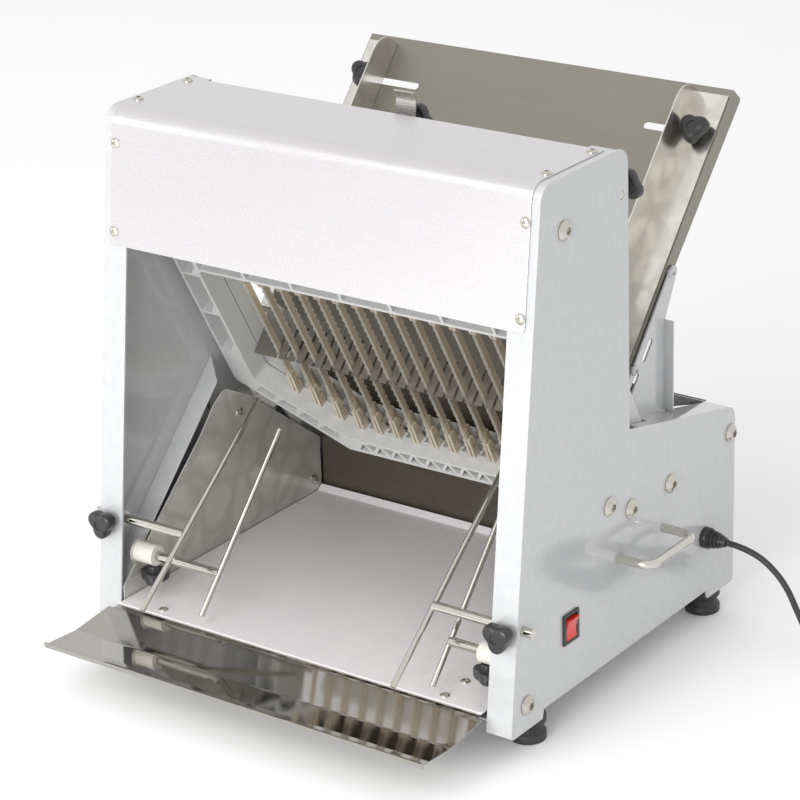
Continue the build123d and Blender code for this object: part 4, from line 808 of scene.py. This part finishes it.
@dataclass(frozen=True)
class PowerCord:
    """Cord from the gland to its plug, with its spare length wound beside the machine."""

    diameter: float = 0.0065
    gland_end: float = 0.286
    gland_y: float = 0.179
    gland_z: float = 0.1045
    gland_length: float = 0.027
    coil_centre: tuple[float, float] = (0.442, 0.240)
    coil_outer: float = 0.049
    coil_pitch: float = 0.00695
    coil_turns: float = 3.0
    climb: float = 0.5
    points_per_turn: int = 16
    plug_lead: float = 0.030
    length: float = 1.775
    bench_gap: float = 0.0001
    pin_half_wide: float = 0.0011
    pin_half_tall: float = 0.00275
    pins: tuple[tuple[float, float], ...] = ((-0.004, 0.0), (0.0035, -0.007), (0.0035, 0.007))
    nut_share: float = 0.97

    def route(self) -> np.ndarray:
        """Give the points of the free stretch, from the gland to the start of the coil."""
        start = self.gland_end
        low = self.diameter / 2 + self.bench_gap
        entry_y = self.coil_centre[1] - self.coil_outer
        return np.array([
            (start, self.gland_y, self.gland_z),
            (start + 0.030, self.gland_y + 0.001, self.gland_z - 0.001),
            (start + 0.064, self.gland_y + 0.005, self.gland_z - 0.028),
            (start + 0.082, self.gland_y + 0.007, self.gland_z - 0.066),
            (start + 0.098, self.gland_y + 0.008, low + 0.005),
            (self.coil_centre[0] - 0.014, entry_y, low),
        ])

    def coil(self) -> np.ndarray:
        """Wind the coil: its radius falls by one pitch a turn on the bench, and grows on the layer above.

        Returns:
            Points of both layers and of the straight lead into the plug.
        """
        total = 2 * self.coil_turns + self.climb
        turn = np.linspace(0, total, int(total * self.points_per_turn) + 1)
        reversal = self.coil_turns + self.climb / 2
        radius = self.coil_outer - self.coil_pitch * (reversal - np.abs(turn - reversal))
        share = np.clip((turn - self.coil_turns) / self.climb, 0, 1)
        height = self.diameter / 2 + self.bench_gap + self.coil_pitch * (1 - np.cos(np.pi * share)) / 2
        angle = FULL_TURN * turn - np.pi / 2
        centre_x, centre_y = self.coil_centre
        wound = np.stack([centre_x + radius * np.cos(angle), centre_y + radius * np.sin(angle), height],
                         axis=-1)
        return np.concatenate([wound, [wound[-1] + self.lead_direction() * self.plug_lead]])

    def lead_direction(self) -> np.ndarray:
        """Give the way from the coil's outer end into the plug: the circle's tangent, opened by one pitch.

        Returns:
            The level direction.
        """
        angle = FULL_TURN * (2 * self.coil_turns + self.climb) - np.pi / 2
        outward = np.array([np.cos(angle), np.sin(angle), 0.0])
        forward = np.array([-np.sin(angle), np.cos(angle), 0.0])
        direction = self.coil_pitch * outward + FULL_TURN * self.coil_outer * forward
        return direction / np.linalg.norm(direction)

    def build_cord(self) -> bpy.types.Object:
        """Lay the cord as one smooth spline.

        Returns:
            The cord.
        """
        points = np.concatenate([self.route(), self.coil()])
        curve = bpy.data.curves.new("flex_cord", "CURVE")
        curve.dimensions = "3D"
        curve.bevel_depth = self.diameter / 2
        curve.bevel_resolution = 4
        curve.resolution_u = 6
        curve.use_fill_caps = True
        spline = curve.splines.new("NURBS")
        spline.points.add(len(points) - 1)
        spline.points.foreach_set("co", np.column_stack([points, np.ones(len(points))]).ravel())
        spline.order_u = 3
        spline.use_endpoint_u = True
        cord = bpy.data.objects.new("flex_cord", curve)
        bpy.context.scene.collection.objects.link(cord)
        place_piece(cord, "power_cord", BLACK_RUBBER)
        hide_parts("cord_coil")
        return cord

    def build_plug(self) -> bpy.types.Object:
        """Loft the moulded plug on the cord's end: rounded boxes that swell from strain relief to face.

        A rounded box has the cosine and sine of a turn, each to the same power under one, as its sides.

        Returns:
            The plug.
        """
        foot = self.coil()[-1]
        onward = self.lead_direction()
        half_high = foot[2] - 0.0003
        # Each section's distance from the cord's end, and half its width
        sections = np.array([(0.0, 0.0041), (0.004, 0.0044), (0.004, 0.0036), (0.009, 0.0040),
                             (0.009, 0.0050), (0.014, 0.0053), (0.014, 0.0045), (0.020, 0.0056),
                             (0.024, 0.0085), (0.034, 0.0125), (0.040, 0.0138), (0.051, 0.0145),
                             (0.052, 0.0138)])
        place, wide = sections.T.copy()
        high = np.minimum(wide, half_high)
        angle = np.linspace(0, FULL_TURN, ROUND_STEPS, endpoint=False)
        power = 0.55
        across = np.sign(np.cos(angle)) * np.abs(np.cos(angle)) ** power
        tall = np.sign(np.sin(angle)) * np.abs(np.sin(angle)) ** power
        round_share = np.clip((place - 0.018) / 0.012, 0, 1)[:, None]
        side = wide[:, None] * (np.cos(angle) * (1 - round_share) + across * round_share)
        rise = high[:, None] * (np.sin(angle) * (1 - round_share) + tall * round_share)
        rings = np.stack([side, rise, place[:, None] + 0 * side], axis=-1)
        level = np.array([-onward[1], onward[0], 0.0])
        parts = [ring_surface(stood(rings, foot, onward, level))]
        corners = np.array([(-1, -1), (1, -1), (1, 1), (-1, 1)])
        flat = corners * np.array([self.pin_half_wide, self.pin_half_tall])
        pin_place = np.array([0.0515, 0.067, 0.069])[:, None]
        shrink = np.array([1.0, 1.0, 0.6])[:, None]
        for up, sideways in self.pins:
            pin = np.stack([sideways + flat[:, 0] * shrink, up + flat[:, 1] * shrink,
                            pin_place + 0 * shrink * flat[:, 0]], axis=-1)
            parts.append(ring_surface(stood(pin, foot, onward, level)))
        plug = mesh_object("mains_plug", *joined(parts), sharp=50.0)
        place_piece(plug, "plug", BLACK_PLASTIC)
        return plug

    def build_gland(self) -> None:
        """Turn the ribbed strain relief: grooved rings of falling radius, and a six-sided nut at its foot."""
        root = self.gland_end - self.gland_length
        profile = np.array([(7.8, -6), (7.8, 0.1), (11.3, 0.1), (11.6, 0.6), (11.6, 6.4), (11.2, 7),
                            (10.0, 7.2), (10.0, 9.6), (8.6, 9.9), (8.6, 11.1), (9.3, 11.4), (9.3, 13.6),
                            (7.8, 13.9), (7.8, 15.0), (8.4, 15.3), (8.3, 17.6), (6.9, 17.9), (6.8, 19.0),
                            (7.2, 19.3), (6.8, 21.4), (5.9, 21.7), (5.7, 22.8), (6.0, 23.1), (4.8, 26.4),
                            (3.4, 26.9)]) / 1000
        nut_rings = slice(2, 6)
        rings = lathe_rings(profile, ROUND_STEPS)
        angle = np.linspace(0, FULL_TURN, ROUND_STEPS, endpoint=False)
        hexagon = self.nut_share / np.cos((angle + math.pi / 6) % (math.pi / 3) - math.pi / 6)
        rings[nut_rings, :, :2] *= np.minimum(hexagon, 1.0)[None, :, None]
        placed = stood(rings, (root, self.gland_y, self.gland_z), (1, 0, 0), (0, 1, 0))
        gland = mesh_object("strain_relief", *ring_surface(placed), sharp=35.0)
        place_piece(gland, "cable_gland", BLACK_PLASTIC)

    def build(self) -> None:
        """Make the cord, its plug and its gland."""
        cord = self.build_cord()
        plug = self.build_plug()
        self.build_gland()


@dataclass(frozen=True)
class StarKnobs:
    """The nine clamping knobs: a three-lobed grip on a collar, with its stud."""

    valley: float = 0.0112
    lobe: float = 0.0163
    height: float = 0.0130
    collar: float = 0.0073
    collar_length: float = 0.0060
    stud: float = 0.0030
    bevel: float = 0.0006
    steps: int = 72
    guide_down: float = 0.053
    guide_rise: float = 0.0081
    guide_x: float = 0.207
    guide_stud: float = 0.014
    flap_at: tuple[float, float, float] = (0.248, 0.040, 0.5217)
    flap_stud: float = 0.0175
    panel_front: float = -0.1885
    panel_lean: float = 0.1168
    upper_x: float = 0.246
    upper_z: float = 0.1385
    upper_gap: float = 0.0073
    upper_stud_end: float = -0.1675
    lower_at: tuple[float, float, float] = (0.210, -0.150, 0.0807)
    lower_stud: float = 0.0118
    centre_at: tuple[float, float, float] = (0.005, 0.040, 0.551)
    centre_stud: float = 0.014

    def lead(self, node: str, foot: np.ndarray, up: np.ndarray) -> np.ndarray:
        """Find where a node's lobes point, from its point that lies farthest from the axis.

        Args:
            node: The knob's CAD node.
            foot: A point on its axis.
            up: Direction of its axis.

        Returns:
            Direction of one lobe.
        """
        mesh = frame["nodes"][node].data
        points = np.empty(len(mesh.vertices) * 3, np.float32)
        mesh.vertices.foreach_get("co", points)
        away = points.reshape(-1, 3) - foot
        away = away - (away @ up)[:, None] * up
        return away[np.argmax((away ** 2).sum(1))]

    def rings(self, stud_length: float) -> np.ndarray:
        """Shape the knob: round rings for stud and collar, lobed rings drawn in at both rims for the grip.

        A lobed ring's radius swings from valley to lobe three times in a turn, by a raised cosine.

        Args:
            stud_length: Length of the stud behind the grip.

        Returns:
            The rings, about Z with the grip's underside at 0.
        """
        angle = np.linspace(0, FULL_TURN, self.steps, endpoint=False)
        wave = (0.5 + 0.5 * np.cos(3 * angle)) ** 0.85
        lobed = self.valley + (self.lobe - self.valley) * wave
        round_part = np.array([(0.0008, -stud_length), (self.stud, -stud_length + self.bevel),
                               (self.stud, -self.collar_length),
                               (self.collar - self.bevel, -self.collar_length),
                               (self.collar, -self.collar_length + self.bevel),
                               (self.collar, -0.0008), (self.collar + 0.001, 0.0)])
        edge = np.array([(0.0030, 0.0), (0.0012, 0.0003), (0.0003, 0.0012), (0.0, 0.0030), (0.0, 0.0085),
                         (0.0006, 0.0106), (0.0019, 0.0121), (0.0040, self.height - 0.0002),
                         (0.0062, self.height)])
        low = lathe_rings(round_part, self.steps)
        radius = lobed[None, :] - edge[:, :1]
        grip = np.stack([radius * np.cos(angle), radius * np.sin(angle), edge[:, 1:] + 0 * radius], axis=-1)
        cap = lathe_rings(np.array([(0.0052, self.height - 0.0002), (0.0048, self.height - 0.0012),
                                    (0.0008, self.height - 0.0010)]), self.steps)
        return np.concatenate([low, grip, cap])

    def build(self) -> None:
        """Make every knob on its node's axis."""
        forward = np.array([0.0, -1.0, 0.0])
        back = np.array([0.0, 1.0, 0.0])
        down = np.array([0, 0, -1.0])
        guide_foot = CHUTE_TOP + CHUTE_DOWN * self.guide_down + CHUTE_NORMAL * self.guide_rise
        upper_y = self.panel_front + self.panel_lean * self.upper_z - self.upper_gap
        upper_foot = np.array([self.upper_x, upper_y, self.upper_z])
        for side, sign in SIDES.items():
            mirror = np.array([sign, 1.0, 1.0])
            self.make(side + "_guide_knob", guide_foot + np.array([sign * self.guide_x, 0, 0]), CHUTE_NORMAL,
                      self.guide_stud, True)
            self.make(side + "_flap_knob", mirror * self.flap_at, back, self.flap_stud, False)
            self.make(side + "_upper_fence_knob", mirror * upper_foot, forward, self.upper_stud_end - upper_y,
                      False)
            self.make(side + "_lower_fence_knob", mirror * self.lower_at, down, self.lower_stud, False)
        self.make("flap_centre_knob", np.array(self.centre_at), back, self.centre_stud, False)

    def make(self, node: str, foot: np.ndarray, up: np.ndarray, stud_length: float, washer: bool) -> None:
        """Make one knob.

        Args:
            node: The knob's CAD node.
            foot: Middle of the grip's underside.
            up: Direction from the stud to the grip's top.
            stud_length: Length of its stud.
            washer: Whether it has a clamping washer under the chute.
        """
        lead = self.lead(node, foot, up)
        parts = [ring_surface(stood(self.rings(stud_length), foot, up, lead))]
        if washer:
            plate = np.array([(0.0032, -0.0100), (0.0067, -0.0100), (0.0070, -0.0103), (0.0070, -0.0111),
                              (0.0067, -0.0114), (0.0032, -0.0114)])
            parts.append(ring_surface(stood(lathe_rings(plate, 36), foot, up, lead)))
        knob = mesh_object(node + "_grip", *joined(parts), sharp=35.0)
        place_piece(knob, node, BLACK_PLASTIC)


@dataclass(frozen=True)
class Housing:
    """Panels, covers, base, feet and handles."""

    handle_radius: float = 0.00475
    handle_reach: float = 0.302
    handle_ys: tuple[float, float] = (0.008, 0.094)
    handle_z: float = 0.148
    handle_bend: float = 0.013
    panel_face: float = 0.259
    foot_x: float = 0.235
    foot_ys: tuple[float, float] = (-0.120, 0.218)

    def build_handles(self) -> None:
        """Bend two round bars: a circle carried out from the panel, along and back."""
        reach = self.handle_reach - self.handle_radius
        near, far = self.handle_ys
        corners = [(self.panel_face, near), (reach, near), (reach, far), (self.panel_face, far)]
        flat = rounded_path(np.array(corners), self.handle_bend, 12)
        path = np.column_stack([flat, np.full(len(flat), self.handle_z)])
        parts = []
        for sign in SIDES.values():
            rings = bar_rings(path * np.array([sign, 1, 1]), self.handle_radius, 24, np.array([0, 0, 1.0]))
            parts.append(ring_surface(rings))
        bars = mesh_object("handle_bars", *joined(parts), sharp=50.0)
        place_piece(bars, "lifting_handles", ROD_STEEL)

    def build_feet(self) -> None:
        """Turn four stepped rubber feet from one profile of radius against height."""
        profile = np.array([(16.9, 0), (18.1, 0.5), (18.5, 1.6), (18.5, 7.8), (17.6, 9.2), (15.6, 10.6),
                            (15.3, 11.6), (15.3, 16.2), (15.8, 17.2), (17.8, 18.4), (18.5, 19.6),
                            (18.5, 26.2), (17.8, 27.6), (15.0, 30.4), (11.2, 31.0), (11.0, 31.6),
                            (11.0, 40.9)]) / 1000
        parts = []
        for sign in SIDES.values():
            for y in self.foot_ys:
                rings = lathe_rings(profile, ROUND_STEPS) + np.array([sign * self.foot_x, y, 0.0])
                parts.append(ring_surface(rings))
        feet = mesh_object("rubber_foot_set", *joined(parts), sharp=50.0)
        place_piece(feet, "rubber_feet", BLACK_RUBBER)

    def build(self) -> None:
        """Dress the housing's sheets and make its bars and feet."""
        for node in ("left_side_panel", "right_side_panel"):
            refined(node, WHITE_PAINT, 0.0006)
        refined("top_cover", COVER_STEEL, 0.0004)
        refined("rear_cover", WHITE_PAINT, 0.0004)
        refined("guard_rails", WHITE_PAINT, 0.0005)
        refined("chute_supports", WHITE_PAINT, 0.0004)
        refined("housing_lid", DARK_GREY, 0.0005)
        # The bulkhead's near-black colour is painted shade
        refined("inner_bulkhead", SHADE_DARK_SHEET, 0.0005)
        refined("panel_fasteners", BOLT_STEEL, 0.0003)
        dressed("base_plate", WHITE_PAINT)
        dressed("frame_guide_blocks", NYLON)
        dressed("clamp_bosses", NYLON)
        self.build_handles()
        self.build_feet()


@dataclass(frozen=True)
class BladeRow:
    """The blades of one frame: their first slot, and the planes of their backs and pins through the frames.

    facing is the way through the frames that their edges point.
    """

    name: str
    first_slot: int
    back: float
    facing: float
    pin: float


@dataclass(frozen=True)
class BladeUnit:
    """The two cast frames with their blades and hooks."""

    pitch: float = 0.012
    slots: int = 31
    width: float = 0.011
    sheet: float = 0.0008
    ground: float = 0.0042
    wave_pitch: float = 0.009
    wave_depth: float = 0.002
    steps_per_wave: int = 10
    top_seat: float = -0.352
    low_seat: float = -0.117
    corner_x: float = 0.1161
    corner_rise: float = 0.6423
    seat_gap: float = 0.008
    hook_height: float = 0.027
    pin_radius: float = 0.0015
    pin_length: float = 0.0082
    pin_inset: float = 0.006
    rim_half: float = 0.00006
    rows: tuple[BladeRow, ...] = (BladeRow("front", 0, 0.1695, -1.0, 0.1650),
                                  BladeRow("rear", 1, 0.1710, 1.0, 0.1755))

    def on_slope(self, x: object, p: object, v: object) -> np.ndarray:
        """Turn places across the machine, through the frames and along the blades into points.

        Args:
            x: Place across the machine.
            p: Place through the frames.
            v: Place along the blades, downwards.

        Returns:
            The points.
        """
        x, p, v = np.broadcast_arrays(x, p, v)
        y, z = (p * ACROSS_BLADES[axis] + v * ALONG_BLADES[axis] for axis in (1, 2))
        return np.stack([x, y, z], axis=-1)

    def ends(self, x: float) -> tuple[float, float]:
        """Give a blade's upper and lower end: the lower one climbs with the frame's slanting corner.

        Args:
            x: The blade's place across the machine.

        Returns:
            Both ends along the blades.
        """
        low = self.low_seat - max(abs(x) - self.corner_x, 0.0) * self.corner_rise
        return self.top_seat + self.seat_gap, low - self.seat_gap

    def ground_edge(self, x: float, row: BladeRow) -> np.ndarray:
        """Grind a blade's edge: it thins to its rim, which steps back from each point into a round gullet.

        With t running from 0 at a point to 1 in a gullet, the rim steps back by depth times the root of
        one less the square of one less t.

        Args:
            x: The blade's place across the machine.
            row: Its row.

        Returns:
            Four-sided rings along the blade.
        """
        start, end = self.ends(x)
        waves = int((end - start - 2 * (self.hook_height - self.seat_gap)) / self.wave_pitch)
        first = (start + end - waves * self.wave_pitch) / 2
        v = np.concatenate([[start], first + np.arange(waves * self.steps_per_wave + 1) * self.wave_pitch
                            / self.steps_per_wave, [end]])
        share = ((v - first) / self.wave_pitch) % 1.0
        t = np.abs(2 * share - 1)
        t[[0, -1]] = 1.0
        step_back = self.wave_depth * np.sqrt(1 - (1 - t) ** 2)
        rim = row.back + row.facing * (self.width - step_back)
        shoulder = np.full(len(v), row.back + row.facing * (self.width - self.ground))
        half = self.sheet / 2
        across = x + np.array([-half, half, self.rim_half, -self.rim_half])
        through = np.stack([shoulder, shoulder, rim, rim], axis=-1)
        return self.on_slope(across[None, :], through, v[:, None])

    def body(self, x: float, row: BladeRow) -> np.ndarray:
        """Give the flat part of a blade, from its back to the start of its ground edge.

        Args:
            x: The blade's place across the machine.
            row: Its row.

        Returns:
            A four-sided ring at each end.
        """
        half = self.sheet / 2
        across = x + np.array([-half, half, half, -half])
        shoulder = row.back + row.facing * (self.width - self.ground)
        through = np.array([row.back, row.back, shoulder, shoulder])
        return self.on_slope(across[None, :], through[None, :], np.array(self.ends(x))[:, None])

    def pins(self, x: float, row: BladeRow) -> list[tuple[np.ndarray, list]]:
        """Turn the round pins through a blade's two ends.

        Args:
            x: The blade's place across the machine.
            row: Its row.

        Returns:
            The skins of both pins.
        """
        start, end = self.ends(x)
        profile = np.array([(self.pin_radius, -self.pin_length / 2), (self.pin_radius, self.pin_length / 2)])
        rings = lathe_rings(profile, 12)
        feet = self.on_slope(x, row.pin, np.array([start + self.pin_inset, end - self.pin_inset]))
        return [ring_surface(stood(rings, foot, (1, 0, 0), (0, 0, 1))) for foot in feet]

    def build_row(self, row: BladeRow) -> None:
        """Make the blades of one frame.

        Args:
            row: The row.
        """
        middle = (self.slots - 1) / 2
        places = [self.pitch * (index - middle) for index in range(row.first_slot, self.slots, 2)]
        flats = [ring_surface(self.body(x, row)) for x in places]
        for x in places:
            flats += self.pins(x, row)
        blades = mesh_object(row.name + "_blade_set", *joined(flats))
        place_piece(blades, row.name + "_blades", BLADE_STEEL)
        rims = [ring_surface(self.ground_edge(x, row)) for x in places]
        edges = mesh_object(row.name + "_ground_edges", *joined(rims))
        place_piece(edges, row.name + "_blades", EDGE_STEEL)

    def build(self) -> None:
        """Dress the frames and hooks and make the blades."""
        for row in self.rows:
            refined(row.name + "_blade_frame", CAST_ALLOY, 0.0006)
            refined(row.name + "_hooks", HOOK_STEEL, 0.0003)
            self.build_row(row)


@dataclass(frozen=True)
class Infeed:
    """Chute, loaf guides and hold-down flap."""

    def build(self) -> None:
        """Dress the chute and what stands on it."""
        refined("chute", CHUTE_STEEL, 0.0003)
        for side in SIDES:
            refined(side + "_loaf_guide", FILM_STEEL, 0.0004)
        refined("hold_down_plate", SATIN_STEEL, 0.0003)
        refined("hold_down_shaft", ROD_STEEL, 0.0004)


@dataclass(frozen=True)
class Outfeed:
    """Fences, guards, floor plate and pull-out tray."""

    def build(self) -> None:
        """Dress the outfeed side."""
        refined("side_guards", GUARD_GREY, 0.0003)
        refined("floor_plate", FLOOR_STEEL, 0.0003)
        refined("discharge_tray", MIRROR_STEEL, 0.0003)
        refined("tray_screws", BOLT_STEEL, 0.0002)
        dressed("tray_runners", SATIN_STEEL)
        for side in SIDES:
            for level in ("upper", "lower"):
                refined(side + "_" + level + "_fence", ROD_STEEL, 0.0004)


@dataclass(frozen=True)
class Drive:
    """Motor, belt, crankshaft and connecting rods inside the housing, and the switch."""

    def build(self) -> None:
        """Dress the drive."""
        dressed("motor", MOTOR_GREY)
        dressed("motor_bracket", MACHINED_STEEL)
        dressed("shaft_bearings", CAST_ALLOY)
        dressed("drive_belt", BLACK_RUBBER)
        for node in ("crankshaft", "main_pulley", "motor_pulley"):
            dressed(node, MACHINED_STEEL)
        for side in SIDES:
            for end in ("front", "rear"):
                dressed(side + "_" + end + "_connecting_rod", CAST_ALLOY)
        refined("switch_housing", BLACK_PLASTIC, 0.0004)
        refined("switch_rocker", RED_PLASTIC, 0.0006)


def main() -> None:
    """Build every sub-assembly in order and report it."""
    logging.basicConfig(level=logging.INFO, format="%(message)s")
    studio = Studio()
    studio.build_camera()
    for part in (PowerCord(), StarKnobs(), Housing(), BladeUnit(), Infeed(), Outfeed(), Drive()):
        part.build()
        log.info("%s built", type(part).__name__)
    studio.build()


if __name__ == "__main__":
    main()
